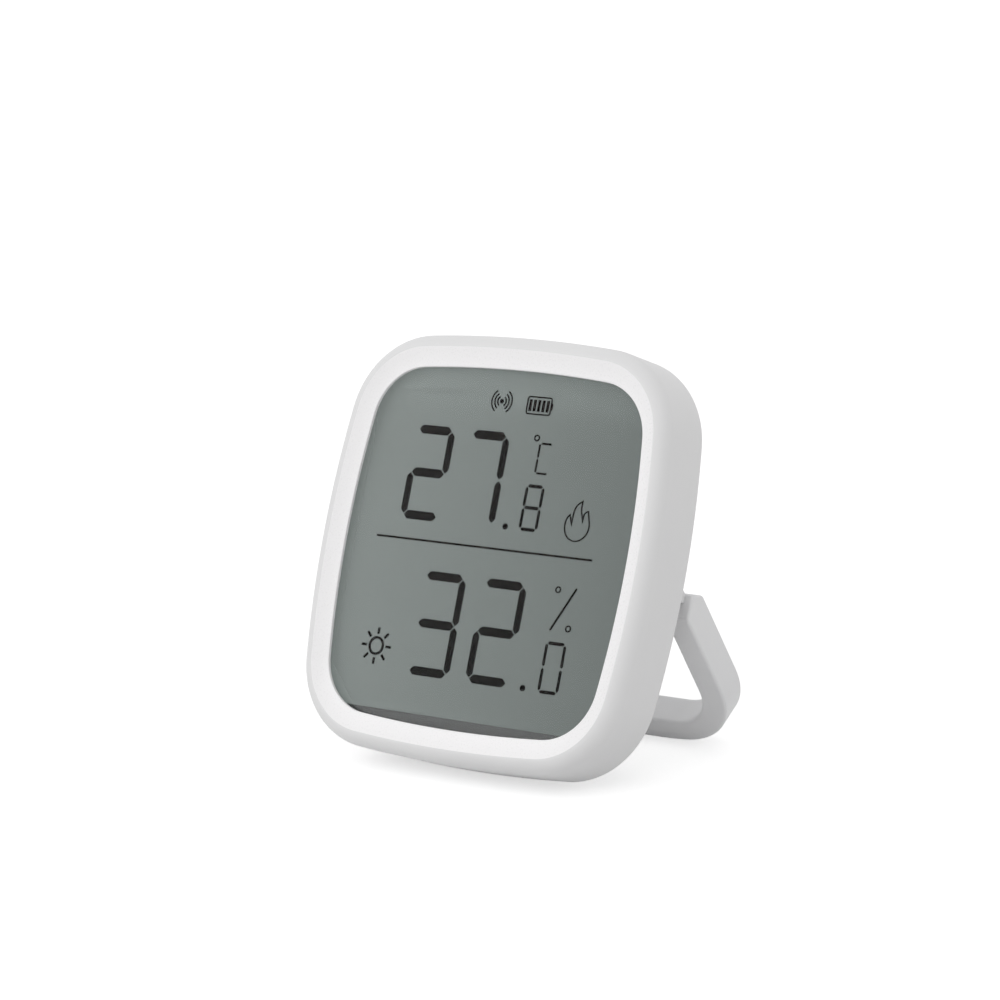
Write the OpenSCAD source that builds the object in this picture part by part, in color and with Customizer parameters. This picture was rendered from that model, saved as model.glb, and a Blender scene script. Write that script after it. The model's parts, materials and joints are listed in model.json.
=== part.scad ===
// Desktop temperature and humidity sensor with a reflective display.
// The body is laid out with X to the right, Y from the front face to the back and Z up the face,
// and is then leaned back until it stands on its lower edge and on the foot of its loop stand.

/* [Body] */
// Width of the body
body_w = 59.5; // [56:0.5:64]
// Height of the body
body_h = 62.5; // [59:0.5:67]
// Depth of the side wall
side_depth = 10.4; // [10:0.1:12]
// Depth from the front face to the back of the pod
total_depth = 18.5; // [18:0.1:20]
// Bow radius of the left and right sides
side_bow_r = 152; // [120:1:250]
// Bow radius of the top and bottom
top_bow_r = 211; // [150:1:300]
// Radius of the outline's corners
corner_r = 13.35; // [12:0.05:15]
// Wall of the front shell
wall = 1.6; // [1.4:0.05:1.8]
// Width of the rounded band between the front crease and the side
front_round_w = 2.05; // [1.6:0.05:2.4]
// Depth of that rounded band
front_round_d = 2.3; // [1.8:0.05:2.8]
// Radius of the rear edge of the side wall
rear_edge_r = 1.25; // [0.6:0.05:1.4]
// Lean of the face from upright, in degrees
lean = 22.3; // [20:0.1:25]

/* [Display] */
// From the body's side to the display opening
opening_side = 4.5; // [4:0.1:5.5]
// From the body's top to the display opening
opening_top = 4.9; // [4:0.1:5.5]
// How far the bezel ring slopes in at the opening
opening_sink = 0.97; // [0.6:0.01:1.1]
// Thickness of the lip at the opening
lip_h = 0.48; // [0.4:0.02:0.8]
// Window tape thickness
tape_t = 0.15; // [0.1:0.05:0.2]
// Window thickness
window_t = 1; // [0.8:0.1:1.2]
// Polariser thickness
polariser_t = 0.2; // [0.15:0.05:0.25]
// Display glass thickness
glass_t = 0.55; // [0.5:0.05:0.6]
// Gap between the display glasses
cell_gap = 0.1; // [0.08:0.02:0.14]
// From the body's side to the display glass
glass_side = 3.95; // [3.8:0.05:4.2]
// From the body's top to the display glass
glass_top = 4.25; // [4.1:0.05:4.5]
// Cut corners of the display glass
glass_chamfer = 5; // [4.8:0.1:6]
// Width of the contact ledge at the foot of the front glass
ledge_h = 2.3; // [2.1:0.1:2.6]
// Width of the seal line between the glasses
seal_w = 0.8; // [0.5:0.1:1]

/* [Readout] */
// Temperature shown, whole degrees
temperature_degrees = 27; // [10:1:99]
// Temperature shown, tenths
temperature_tenths = 8; // [0:1:9]
// Humidity shown, whole percent
humidity_percent = 32; // [10:1:99]
// Humidity shown, tenths
humidity_tenths = 0; // [0:1:9]
// Height of the temperature digits between segment centres
temp_digit_h = 12.75; // [11:0.25:14]
// Height of the humidity digits between segment centres
hum_digit_h = 14; // [12:0.25:15]
// Height of the temperature's tenths digit
temp_tenths_h = 6.3; // [5:0.1:7]
// Height of the humidity's tenths digit
hum_tenths_h = 7; // [5:0.1:7.5]
// Stroke of the large digits
digit_stroke = 1.3; // [0.8:0.1:1.5]
// Stroke of the small digits
tenths_stroke = 0.5; // [0.4:0.05:0.7]
// Stroke of the divider, the slash and the unit
line_stroke = 0.3; // [0.2:0.02:0.4]
// Stroke of the sun
sun_stroke = 0.38; // [0.3:0.02:0.46]
// Stroke of the finest symbols
fine_stroke = 0.2; // [0.16:0.02:0.26]

/* [Board and frame] */
// Depth of the inner frame's ring
frame_t = 2; // [1.8:0.1:2.2]
// From the body's side to the frame's window
frame_side = 7.25; // [6.8:0.05:8]
// From the body's top to the frame's window
frame_top = 8.35; // [8:0.05:9]
// Cut corners of the frame's window
frame_window_chamfer = 6; // [5.5:0.1:8]
// Circuit board thickness
board_t = 1; // [0.8:0.1:1.2]
// From the body's side to the board's edge
board_inset = 2.6; // [2.5:0.1:3]
// Radius of the frame's screw bosses
boss_r = 2.3; // [2:0.1:2.4]
// Clearance between pieces that drop into each other
fit_gap = 0.2; // [0.1:0.05:0.3]

/* [Rear cover] */
// Thickness of the rear plate
plate_t = 1.4; // [1.2:0.1:1.5]
// How far the plate lies below the shell's rear edge
plate_sink = 0.2; // [0.1:0.05:0.3]
// From the body's side to the raised pod
pod_side = 6.45; // [6.4:0.05:7]
// Top of the pod above the body's centre
pod_top = 19.5; // [18.5:0.5:20.5]
// Bottom of the pod below the body's centre
pod_bottom = 24.9; // [24.5:0.1:25.1]
// Radius of the pod's corners
pod_corner_r = 13; // [12.8:0.1:14]
// Wall of the pod
pod_wall = 1.6; // [1.4:0.1:1.8]
// Number of vent slots
vent_count = 9; // [5:2:11]
// Width of a vent slot
vent_w = 1.2; // [0.8:0.1:1.5]
// Height of a vent slot
vent_h = 4; // [3:0.25:4.5]

/* [Battery] */
// Coin cell diameter
cell_d = 24.5; // [24:0.1:24.6]
// Coin cell thickness
cell_t = 5; // [4.8:0.1:5]
// Battery centre below the body's centre
battery_drop = 6; // [5:0.5:7]
// Turn from locked to open of the battery door, in degrees
door_turn = 40; // [36:1:50]

/* [Button] */
// Button centre to the right of the body's centre
button_x = 14; // [13:0.25:14.5]
// Button centre above the body's centre
button_z = 12; // [11:0.25:12.5]
// Radius of the button's face
button_r = 2.3; // [2:0.1:2.5]
// Button travel
button_travel = 0.5; // [0.3:0.05:0.6]

/* [Stand] */
// From the body's side to the stand's side
stand_side = 0.95; // [0.85:0.05:1.1]
// Width of a leg
leg_w = 4.2; // [4:0.1:4.4]
// Depth of the loop's bar in its own plane
bar_h = 4.6; // [4.2:0.1:4.8]
// Pivot to the front face of the leg
leg_front = 2.2; // [2:0.05:2.4]
// Pivot to the rear face of the leg
leg_rear = 2.8; // [2.4:0.05:2.8]
// Outer corner radius of the loop
loop_outer_r = 12; // [11:0.25:12.5]
// Inner corner radius of the loop
loop_inner_r = 7.5; // [6.5:0.25:8]
// Bow radius of the bar's underside
bar_bow_r = 200; // [160:10:260]
// Pivot below the body's centre
pivot_drop = 4.2; // [4:0.05:4.5]
// Pivot in front of the pod's back
pivot_inset = 2.8; // [2.8:0.05:3]
// Opening angle of the stand from the back, in degrees
open_angle = 53.5; // [51:0.5:56]
// Pivot to the stop face of the stand
stop_back = 2.2; // [2:0.05:2.3]
// Pivot to the top face of the opened stand
stand_top = 2.6; // [2.4:0.05:2.8]
// Rise of the opened stand's top face towards its back, in degrees
top_tilt = 10; // [0:1:12]
// Gap between the stand's stop face and the lug
stop_gap = 0.1; // [0.05:0.05:0.2]
// Depth of the foot that is cut flat
foot_cut = 0.7; // [0.4:0.1:1]
// Hinge pin radius
pin_r = 1; // [0.8:0.05:1.1]
// Running clearance of the hinge pin
pin_gap = 0.05; // [0.02:0.01:0.08]

/* [Hidden] */

eps = 0.01;
overrun = 5;
round_fn = 48;

// Depths of the layers behind the front crease
y_ledge = opening_sink + lip_h;
y_window = y_ledge + tape_t;
y_polariser = y_window + window_t;
y_front_glass = y_polariser + polariser_t;
y_cell = y_front_glass + glass_t;
y_rear_glass = y_cell + cell_gap;
y_rear_polariser = y_rear_glass + glass_t;
y_frame = y_rear_polariser + polariser_t;
y_board = y_frame + frame_t;
y_parts = y_board + board_t;
y_plate_back = side_depth - plate_sink;
y_plate = y_plate_back - plate_t;

// Sizes that follow the body
glass_w = body_w - 2 * glass_side;
glass_h = body_h - 2 * glass_top;
frame_window_w = body_w - 2 * frame_side;
frame_window_h = body_h - 2 * frame_top;
pod_w = body_w - 2 * pod_side;
stand_w = body_w - 2 * stand_side;
pivot_depth = total_depth - pivot_inset;

// Outline of the body: bowed sides, bowed top and bottom, round corners
side_steps = 4;
corner_steps = 8;
top_steps = 4;

function polar(c, r, a) = c + r * [cos(a), sin(a)];
function arc(c, r, a0, a1, n) = [for (i = [0:n]) polar(c, r, a0 + (a1 - a0) * i / n)];

side_centre = [body_w / 2 - side_bow_r, 0];
top_centre = [0, body_h / 2 - top_bow_r];

// Centre of the corner circle that is tangent to both bows, inset by ix at the sides and iz at the top
function corner_radius(ix, iz) = corner_r - (ix + iz) / 2;
function corner_centre(ix, iz) =
    let (r = corner_radius(ix, iz), r1 = side_bow_r - ix - r, r2 = top_bow_r - iz - r,
         between = top_centre - side_centre, d = norm(between),
         along = (r1 * r1 - r2 * r2 + d * d) / (2 * d), across = sqrt(r1 * r1 - along * along),
         e = between / d)
    side_centre + along * e + across * [-e.y, e.x];

function quadrant(ix, iz) =
    let (c = corner_centre(ix, iz), r = corner_radius(ix, iz),
         a1 = atan2(c.y, c.x - side_centre.x), a2 = atan2(c.y - top_centre.y, c.x),
         side = arc(side_centre, side_bow_r - ix, 0, a1, side_steps),
         corner = arc(c, r, a1, a2, corner_steps),
         top = arc(top_centre, top_bow_r - iz, a2, 90, top_steps))
    concat([for (i = [0:side_steps - 1]) side[i]], corner, [for (i = [1:top_steps]) top[i]]);

function outline(ix, iz) =
    let (q = quadrant(ix, iz), n = len(q))
    concat([for (i = [0:n - 2]) q[i]], [for (i = [n - 1:-1:1]) [-q[i].x, q[i].y]],
           [for (i = [0:n - 2]) -q[i]], [for (i = [n - 1:-1:1]) [q[i].x, -q[i].y]]);

// Section of the front shell as insets and depths, from the opening round the outside to the ledge
front_steps = 6;
rear_steps = 4;
front_band = [for (i = [0:front_steps]) let (a = 90 * i / front_steps)
    [front_round_w * (1 - sin(a)), front_round_d * (1 - cos(a))]];
rear_band = [for (i = [0:rear_steps]) let (a = 90 * i / rear_steps)
    [rear_edge_r * (1 - cos(a)), side_depth - rear_edge_r * (1 - sin(a))]];
shell_section = concat(
    [[opening_side, opening_top, opening_sink]],
    [for (s = concat(front_band, rear_band, [[wall, side_depth], [wall, y_ledge]])) [s.x, s.x, s.y]],
    [[opening_side, opening_top, y_ledge]]);
shell_rings = [for (s = shell_section) [for (p = outline(s.x, s.y)) [p.x, s.z, p.y]]];

// Where the leaned body meets the floor, and how far it reaches to the front
function lean_y(p) = p.y * cos(lean) + p.z * sin(lean);
function lean_z(p) = p.z * cos(lean) - p.y * sin(lean);
floor_z = min([for (ring = shell_rings) for (p = ring) lean_z(p)]);
front_y = min([for (ring = shell_rings) for (p = ring) lean_y(p)]);

// Stand: its leg reaches from the pivot to the floor
pivot = [0, pivot_depth, -pivot_drop];
foot_lean = open_angle - lean;
pivot_height = lean_z(pivot) - floor_z;
front_leg_l = (pivot_height - leg_front * sin(foot_lean)) / cos(foot_lean);
stand_l = front_leg_l + foot_cut / cos(foot_lean);
back_y = lean_y(pivot) + stand_l * sin(foot_lean) + leg_rear * cos(foot_lean);
mid_y = (front_y + back_y) / 2;
leg_x = stand_w / 2 - leg_w;
pod_x = pod_w / 2;
leg_skin = 1.4;
pin_in_stand = leg_w - leg_skin;
pin_in_boss = 3.7;
pin_end_gap = 0.2;
hinge_boss_r = 2.4;
hinge_boss_l = 2.5;

module standing() {
    translate([0, -mid_y, -floor_z]) rotate([-lean, 0, 0]) children();
}

// A flat outline in X and Z, made solid from one depth to another
module layer(from, to) {
    translate([0, to, 0]) rotate([90, 0, 0]) linear_extrude(to - from) children();
}

// A round post along the depth
module post(x, z, r, from, to) {
    translate([x, to, z]) rotate([90, 0, 0]) cylinder(r = r, h = to - from, $fn = round_fn);
}

// A block on the board or elsewhere, centred on x and z
module block(x, z, w, h, from, to) {
    translate([x - w / 2, from, z - h / 2]) cube([w, to - from, h]);
}

function mirror_x(p) = [for (i = [len(p) - 1:-1:0]) [-p[i].x, p[i].y]];

function chamfered(w, low, high, c) =
    let (x = w / 2, right = [[x - c, low], [x, low + c], [x, high - c], [x - c, high]])
    concat(right, mirror_x(right));

function rounded(w, low, high, r, n) =
    let (right = concat(arc([w / 2 - r, low + r], r, -90, 0, n), arc([w / 2 - r, high - r], r, 0, 90, n)))
    concat(right, mirror_x(right));

// Screws sit in the four corners, on the diagonals of the corner circles
screw_reach = 8.3;
diagonal = screw_reach / sqrt(2);
screw_at = corner_centre(wall, wall) + [diagonal, diagonal];
screw_shank_r = 0.9;
screw_head_r = 1.8;
screw_head_h = 0.8;
screw_l = 4.2;
board_screw_inset = 4.55;
board_screw_drop = 8;
board_screw_r = 0.6;
board_screw_head_r = 1.2;
board_screw_head_h = 0.8;
board_screw_l = 1.4;

module at_screws() {
    for (sx = [-1, 1]) for (sz = [-1, 1]) translate([sx * screw_at.x, 0, sz * screw_at.y]) children();
}

module at_board_screws() {
    for (sx = [-1, 1]) translate([sx * (body_w / 2 - board_screw_inset), 0, -board_screw_drop])
        children();
}

// Front shell

rib_l = 6;
rib_at = 10;
rib_d = 0.8;
rib_bite = 0.7;
rib_gap = 0.05;
y_rib = y_board + rib_gap;

module lofted(rings) {
    n = len(rings[0]);
    m = len(rings);
    polyhedron(
        points = [for (ring = rings) for (p = ring) p],
        faces = [for (j = [0:m - 1]) for (i = [0:n - 1])
            let (next_i = (i + 1) % n, next_j = (j + 1) % m,
                 a = j * n + i, b = j * n + next_i, c = next_j * n + next_i, d = next_j * n + i)
            each [[a, b, c], [a, c, d]]],
        convexity = 6);
}

module front_shell() {
    color("#f1f1f2") standing() union() {
        lofted(shell_rings);
        for (sx = [-1, 1]) for (z = [-rib_at, rib_at])
            block(sx * (body_w / 2 - wall / 2 - rib_bite), z, wall, rib_l, y_rib, y_rib + rib_d);
    }
}

// Display stack

glass_low = -glass_h / 2;
glass_high = glass_h / 2;
visible_low = glass_low + ledge_h;

module display_window() {
    color("#dfe6e4", 0.3) standing() layer(y_window, y_polariser)
        polygon(outline(wall + fit_gap, wall + fit_gap));
}

module window_tape() {
    color("#2b2b2d") standing() layer(y_ledge, y_window) difference() {
        polygon(outline(wall + fit_gap, wall + fit_gap));
        polygon(outline(opening_side - fit_gap, opening_top - fit_gap));
    }
}

module front_polariser() {
    color("#7d8480", 0.5) standing() layer(y_polariser, y_front_glass)
        polygon(chamfered(glass_w, visible_low, glass_high, glass_chamfer));
}

module lcd_front_glass() {
    color("#b9c4bf", 0.4) standing() layer(y_front_glass, y_cell)
        polygon(chamfered(glass_w, glass_low, glass_high, glass_chamfer));
}

module lcd_seal() {
    color("#55595a") standing() layer(y_cell, y_rear_glass) difference() {
        polygon(chamfered(glass_w, visible_low, glass_high, glass_chamfer));
        polygon(chamfered(glass_w - 2 * seal_w, visible_low + seal_w, glass_high - seal_w, glass_chamfer));
    }
}

module lcd_rear_glass() {
    color("#b9c4bf", 0.4) standing() layer(y_rear_glass, y_rear_polariser)
        polygon(chamfered(glass_w, visible_low, glass_high, glass_chamfer));
}

module rear_polariser() {
    color("#8d948f") standing() layer(y_rear_polariser, y_frame)
        polygon(chamfered(glass_w, visible_low, glass_high, glass_chamfer));
}

zebra_t = 1.6;
zebra_w = 36;
zebra_z = glass_low + ledge_h / 2;

module zebra_strip() {
    color("#3c3c40") standing() block(0, zebra_z, zebra_w, zebra_t, y_cell, y_board);
}

// Readout

// Lit segments of each figure: top, upper right, lower right, bottom, lower left, upper left, middle
LIT = [[1, 1, 1, 1, 1, 1, 0], [0, 1, 1, 0, 0, 0, 0], [1, 1, 0, 1, 1, 0, 1], [1, 1, 1, 1, 0, 0, 1],
    [0, 1, 1, 0, 0, 1, 1], [1, 0, 1, 1, 0, 1, 1], [1, 0, 1, 1, 1, 1, 1], [1, 1, 1, 0, 0, 0, 0],
    [1, 1, 1, 1, 1, 1, 1], [1, 1, 1, 1, 0, 1, 1]];
digit_aspect = 0.485;
tenths_aspect = 0.455;
segment_gap = 0.15;
upright_share = 0.86;
temp_row = 10.42;
temp_x = [-13.8, -3.85];
temp_tenths_at = [5.9, 6.95];
hum_row = -11.45;
hum_x = [-7.2, 3.7];
hum_tenths_at = [14.5, -15.37];
point_r = 0.46;
temp_point = [1.85, 3.9];
hum_point = [10.08, -18.73];
ring_r = 0.5;
divider = [-21, 18, 0.5];
celsius_at = [5.66, 14.19];
celsius_size = [1.7, 4.33];
degree_at = [4.6, 17.1];
percent_at = [14.62, -6.9];
percent_rings = [[-1.5, 2.7], [1.42, -2.65]];
percent_slash_l = 7.1;
percent_slash_tilt = 28;
sun_at = [-17.33, -15.67];
sun_r = 1.4;
sun_rays = [1.75, 2.7];
sun_ray_count = 8;
signal_at = [-2.82, 21.95];
signal_radii = [0.85, 1.37, 1.91];
signal_spread = 56;
signal_dot_r = 0.34;
gauge_at = [3.93, 21.76];
gauge_size = [4.45, 2.7];
gauge_corner_r = 0.45;
gauge_corner_steps = 4;
gauge_bars = 5;
gauge_bar = [0.46, 1.7];
gauge_pitch = 0.775;
gauge_nub = [0.2, 0.95];
flame_at = [14.3, 5.2];
// Middle line of the flame's stroke, counterclockwise from its foot
flame_path = [[0.19, -2.29], [0.93, -2.09], [1.46, -1.71], [1.9, -1.16], [2.12, -0.45], [2.15, 0.13],
    [1.98, 0.84], [1.75, 1.49], [1.57, 2.14], [1.21, 2.02], [0.92, 1.69], [0.84, 0.79], [0.43, 1.85],
    [0.29, 2.63], [0.31, 3.49], [-0.12, 3.2], [-0.51, 2.88], [-0.75, 2.42], [-0.89, 1.9], [-0.94, 1.29],
    [-0.99, 0.18], [-1.49, 1.4], [-1.81, 1.08], [-2.02, 0.59], [-2.1, -0.01], [-2.04, -0.55],
    [-1.87, -1.09], [-1.57, -1.59], [-1.11, -1.99], [-0.49, -2.24]];
sharpest = 0.05;

function across(a, b) = let (u = (b - a) / norm(b - a)) [u.y, -u.x];

// A closed path moved outwards by d, with its corners kept sharp
function moved(path, d) =
    let (n = len(path))
    [for (i = [0:n - 1])
        let (a = across(path[(i + n - 1) % n], path[i]), b = across(path[i], path[(i + 1) % n]))
        path[i] + d * (a + b) / max(1 + a * b, sharpest)];

module segment(l, t) {
    x = l / 2;
    z = t / 2;
    polygon([[-x, 0], [z - x, -z], [x - z, -z], [x, 0], [x - z, z], [z - x, z]]);
}

module figure(value, h, aspect, t) {
    w = h * aspect;
    lit = LIT[value];
    for (i = [0:2]) if (lit[[0, 6, 3][i]]) translate([0, h / 2 * (1 - i)]) segment(w - 2 * segment_gap, t);
    for (i = [0:3]) if (lit[[1, 2, 4, 5][i]])
        translate([(i < 2 ? 1 : -1) * w / 2, (i == 0 || i == 3 ? 1 : -1) * h / 4]) rotate(90)
            segment(h / 2 - 2 * segment_gap, t * upright_share);
}

module ring(r, t) {
    difference() {
        circle(r = r, $fn = round_fn);
        circle(r = r - t, $fn = round_fn);
    }
}

module band(r, t, a0, a1) {
    steps = 10;
    polygon(concat(arc([0, 0], r, a0, a1, steps), arc([0, 0], r - t, a1, a0, steps)));
}

module temperature_row() {
    translate([temp_x[0], temp_row])
        figure(floor(temperature_degrees / 10), temp_digit_h, digit_aspect, digit_stroke);
    translate([temp_x[1], temp_row])
        figure(temperature_degrees % 10, temp_digit_h, digit_aspect, digit_stroke);
    translate(temp_tenths_at) figure(temperature_tenths, temp_tenths_h, tenths_aspect, tenths_stroke);
    translate(temp_point) circle(r = point_r, $fn = round_fn);
    translate(degree_at) ring(ring_r, fine_stroke);
    translate(celsius_at) {
        half = celsius_size.y / 2;
        for (z = [-half, half]) translate([0, z - line_stroke / 2]) square([celsius_size.x, line_stroke]);
        for (z = [-half, 0]) translate([-line_stroke - segment_gap, z + segment_gap])
            square([line_stroke, half - 2 * segment_gap]);
    }
}

module humidity_row() {
    translate([hum_x[0], hum_row])
        figure(floor(humidity_percent / 10), hum_digit_h, digit_aspect, digit_stroke);
    translate([hum_x[1], hum_row]) figure(humidity_percent % 10, hum_digit_h, digit_aspect, digit_stroke);
    translate(hum_tenths_at) figure(humidity_tenths, hum_tenths_h, tenths_aspect, tenths_stroke);
    translate(hum_point) circle(r = point_r, $fn = round_fn);
    translate(percent_at) {
        rotate(-percent_slash_tilt) square([line_stroke, percent_slash_l], center = true);
        for (p = percent_rings) translate(p) ring(ring_r, fine_stroke);
    }
}

module sun() {
    translate(sun_at) {
        ring(sun_r, sun_stroke);
        for (i = [0:sun_ray_count - 1]) rotate(360 * i / sun_ray_count)
            translate([sun_rays[0], -sun_stroke / 2]) square([sun_rays[1] - sun_rays[0], sun_stroke]);
    }
}

module signal() {
    translate(signal_at) {
        circle(r = signal_dot_r, $fn = round_fn);
        for (r = signal_radii) for (side = [0, 180])
            band(r, fine_stroke, side - signal_spread, side + signal_spread);
    }
}

module gauge_outline(inset) {
    half = gauge_size.y / 2 - inset;
    polygon(rounded(gauge_size.x - 2 * inset, -half, half, gauge_corner_r - inset, gauge_corner_steps));
}

module gauge() {
    translate(gauge_at) {
        difference() {
            gauge_outline(0);
            gauge_outline(fine_stroke);
        }
        translate([(gauge_size.x - fine_stroke) / 2, -gauge_nub.y / 2])
            square([gauge_nub.x + fine_stroke / 2, gauge_nub.y]);
        for (i = [0:gauge_bars - 1]) translate([(i - (gauge_bars - 1) / 2) * gauge_pitch, 0])
            square(gauge_bar, center = true);
    }
}

module flame() {
    translate(flame_at) difference() {
        polygon(moved(flame_path, fine_stroke / 2));
        polygon(moved(flame_path, -fine_stroke / 2));
    }
}

module lcd_segments() {
    color("#2a2224") standing() layer(y_cell, y_rear_glass) {
        temperature_row();
        humidity_row();
        sun();
        signal();
        gauge();
        flame();
        translate([divider[0], divider[2] - line_stroke / 2])
            square([divider[1] - divider[0], line_stroke]);
    }
}

// Inner frame and circuit board

zebra_slot_gap = 0.2;

module lcd_frame() {
    color("#d9dadb") standing() difference() {
        union() {
            layer(y_frame, y_board) difference() {
                polygon(outline(wall + fit_gap, wall + fit_gap));
                polygon(chamfered(frame_window_w, -frame_window_h / 2, frame_window_h / 2,
                    frame_window_chamfer));
            }
            at_screws() post(0, 0, boss_r, y_board - eps, y_plate);
        }
        block(0, zebra_z, zebra_w + 2 * zebra_slot_gap, zebra_t + 2 * zebra_slot_gap,
            y_frame - eps, y_board + eps);
        at_screws() post(0, 0, screw_shank_r, y_plate_back - screw_head_h - screw_l, y_plate + eps);
        at_board_screws() post(0, 0, board_screw_r, y_parts - board_screw_l - board_t, y_board + eps);
    }
}

isolation_slot = 0.8;
sensor_size = [2.5, 2.5, 0.9];
sensor_at = [0, 24];

module main_board() {
    color("#2f6b46") standing() difference() {
        layer(y_board, y_parts) polygon(outline(board_inset, board_inset));
        at_screws() post(0, 0, boss_r + fit_gap, y_board - eps, y_parts + eps);
        at_board_screws() post(0, 0, board_screw_r, y_board - eps, y_parts + eps);
        for (sx = [-1, 1]) block(sensor_at.x + sx * 2 * sensor_size.x, sensor_at.y,
            isolation_slot, 2 * sensor_size.y, y_board - eps, y_parts + eps);
    }
}

module board_part(at, size) {
    block(at.x, at.y, size.x, size.y, y_parts, y_parts + size.z);
}

controller_at = [16.5, -18];
controller_size = [5, 5, 0.9];
radio_x = -8;
radio_gap = 0.5;
module_size = [13, 7.6, 0.6];
shield_size = [9.5, 6.2, 1.3];
crystal_at = [10.5, -20.5];
crystal_size = [3.2, 1.5, 0.8];
capacitor_size = [1.6, 0.8, 0.8];
capacitor_count = 8;
capacitor_pitch = 3;
capacitor_row = 21.8;

module controller_chip() {
    color("#26272a") standing() board_part(controller_at, controller_size);
}

// The radio lies just above the battery tub
module at_radio() {
    translate([radio_x, 0, tub_outer_r - battery_drop + radio_gap + module_size.y / 2]) children();
}

module radio_module() {
    color("#1f4f7a") standing() at_radio() board_part([0, 0], module_size);
}

module radio_shield() {
    color("#c3c6c9") standing() at_radio() translate([0, module_size.z, 0]) board_part([0, 0], shield_size);
}

module crystal() {
    color("#b8bcc0") standing() board_part(crystal_at, crystal_size);
}

module chip_capacitors() {
    color("#b39a78") standing() for (i = [0:capacitor_count - 1])
        board_part([(i - (capacitor_count - 1) / 2) * capacitor_pitch, -capacitor_row], capacitor_size);
}

module sensor_chip() {
    color("#e6e6e2") standing() board_part(sensor_at, sensor_size);
}

vent_pitch = 2.8;
vent_z = 24;
membrane_t = 0.15;
membrane_margin = 1;

module vent_membrane() {
    color("#9a9c9e") standing() block(0, vent_z, vent_count * vent_pitch + 2 * membrane_margin,
        vent_h + 2 * membrane_margin, y_plate - membrane_t, y_plate);
}

// Pairing button: cap, switch plunger and switch lie in line

switch_w = 4.5;
switch_h = 2;
plunger_r = 1.2;
plunger_gap = 0.3;
plunger_deep = 0.4;
plunger_spare = 0.6;
stem_r = 1.4;
button_flange = [3.2, 0.8];
button_gap = 0.3;
flange_gap = 0.1;
y_switch_top = y_parts + switch_h;
y_stem = y_switch_top + button_travel + plunger_spare;
y_pod_inner = total_depth - pod_wall;
y_flange = y_pod_inner - flange_gap - button_flange.y;

module tactile_switch() {
    color("#3a3b3f") standing() difference() {
        block(button_x, button_z, switch_w, switch_w, y_parts, y_switch_top);
        post(button_x, button_z, plunger_r + plunger_gap,
            y_switch_top - plunger_deep - button_travel - fit_gap, y_switch_top + eps);
    }
}

module switch_plunger() {
    color("#8a5a30") standing() post(button_x, button_z, plunger_r, y_switch_top - plunger_deep, y_stem);
}

module button_cap() {
    color("#e4e4e5") standing() union() {
        post(button_x, button_z, button_r, y_pod_inner - flange_gap - eps, total_depth);
        post(button_x, button_z, button_flange.x, y_flange, y_pod_inner - flange_gap);
        post(button_x, button_z, stem_r, y_stem, y_flange + eps);
    }
}

// Battery: the cell lies in a round tub, under a door that locks with two tabs

cell_gap_r = 0.35;
tub_floor_t = 1.2;
tub_r = cell_d / 2 + cell_gap_r;
lip_t = 0.7;
hole_step = 0.5;
hole_r = tub_r + hole_step;
door_gap = 0.3;
flange_step = 1.5;
door_flange_r = hole_r + flange_step;
tab_t = 0.8;
tab_w = 1.1;
tab_span = 30;
tab_lift = 0.1;
tab_r = hole_r - door_gap + tab_w;
tab_bite = 1;
groove_r = tab_r + door_gap;
tub_wall = 1.1;
tub_outer_r = groove_r + tub_wall;
y_lip = y_pod_inner + lip_t;
y_tab = y_pod_inner - tab_lift - tab_t;
y_groove = y_tab - door_gap;
cell_end_gap = 0.15;
y_cell_top = y_tab - cell_end_gap;
y_cell_low = y_cell_top - cell_t;
y_tub_floor = y_cell_low - cell_end_gap;
cell_cap = [1.85, 0.3];
contact_t = 0.3;
contact_w = 3;
contact_gap = 0.05;
contact_drop = 1;
contact_slot_bite = 1;
coin_slot = [12, 1.6, 0.6];
tub_slot_gap = 0.7;
tub_slot = [contact_w + 2 * tub_slot_gap, 9];
negative_foot = 4;
negative_ramp = 5;
negative_pad = 3;
positive_h = 3;

module at_battery() {
    translate([0, 0, -battery_drop]) children();
}

module coin_cell() {
    color("#c9ccd0") standing() at_battery() union() {
        post(0, 0, cell_d / 2, y_cell_low + cell_cap.y, y_cell_top);
        post(0, 0, cell_d / 2 - cell_cap.x, y_cell_low, y_cell_low + cell_cap.y + eps);
    }
}

// A bent strip: foot on the board, ramp through the tub floor, pad under the cell
module negative_contact() {
    low = -negative_foot - negative_ramp;
    front = [[low, y_parts], [low + negative_foot, y_parts], [0, y_cell_low - contact_t],
        [negative_pad, y_cell_low - contact_t]];
    back = [for (p = front) p + [0, contact_t]];
    color("#d3c58a") standing() at_battery() translate([contact_w / 2, 0, 0]) rotate([0, -90, 0])
        linear_extrude(contact_w) polygon(concat(front, [for (i = [len(back) - 1:-1:0]) back[i]]));
}

module positive_contact() {
    x = cell_d / 2 + contact_gap;
    y_top = y_cell_top - contact_drop;
    color("#d3c58a") standing() at_battery() union() {
        translate([x, y_parts, -contact_w / 2]) cube([contact_t, y_top - y_parts, contact_w]);
        translate([x, y_parts, -contact_w / 2]) cube([positive_h, contact_t, contact_w]);
    }
}

// A ring sector between two radii, seen along the depth
module sector(r0, r1, span) {
    steps = 8;
    half = span / 2;
    polygon(concat(arc([0, 0], r1, -half, half, steps), arc([0, 0], r0, half, -half, steps)));
}

module battery_door() {
    color("#ececed") standing() at_battery() difference() {
        union() {
            post(0, 0, door_flange_r - door_gap, y_lip, total_depth);
            post(0, 0, hole_r - door_gap, y_tab, y_lip + eps);
            layer(y_tab, y_tab + tab_t) for (a = [90, 270]) rotate(a)
                sector(hole_r - tab_bite, tab_r, tab_span);
        }
        block(0, 0, coin_slot.x, coin_slot.y, total_depth - coin_slot.z, total_depth + eps);
    }
}

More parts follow.
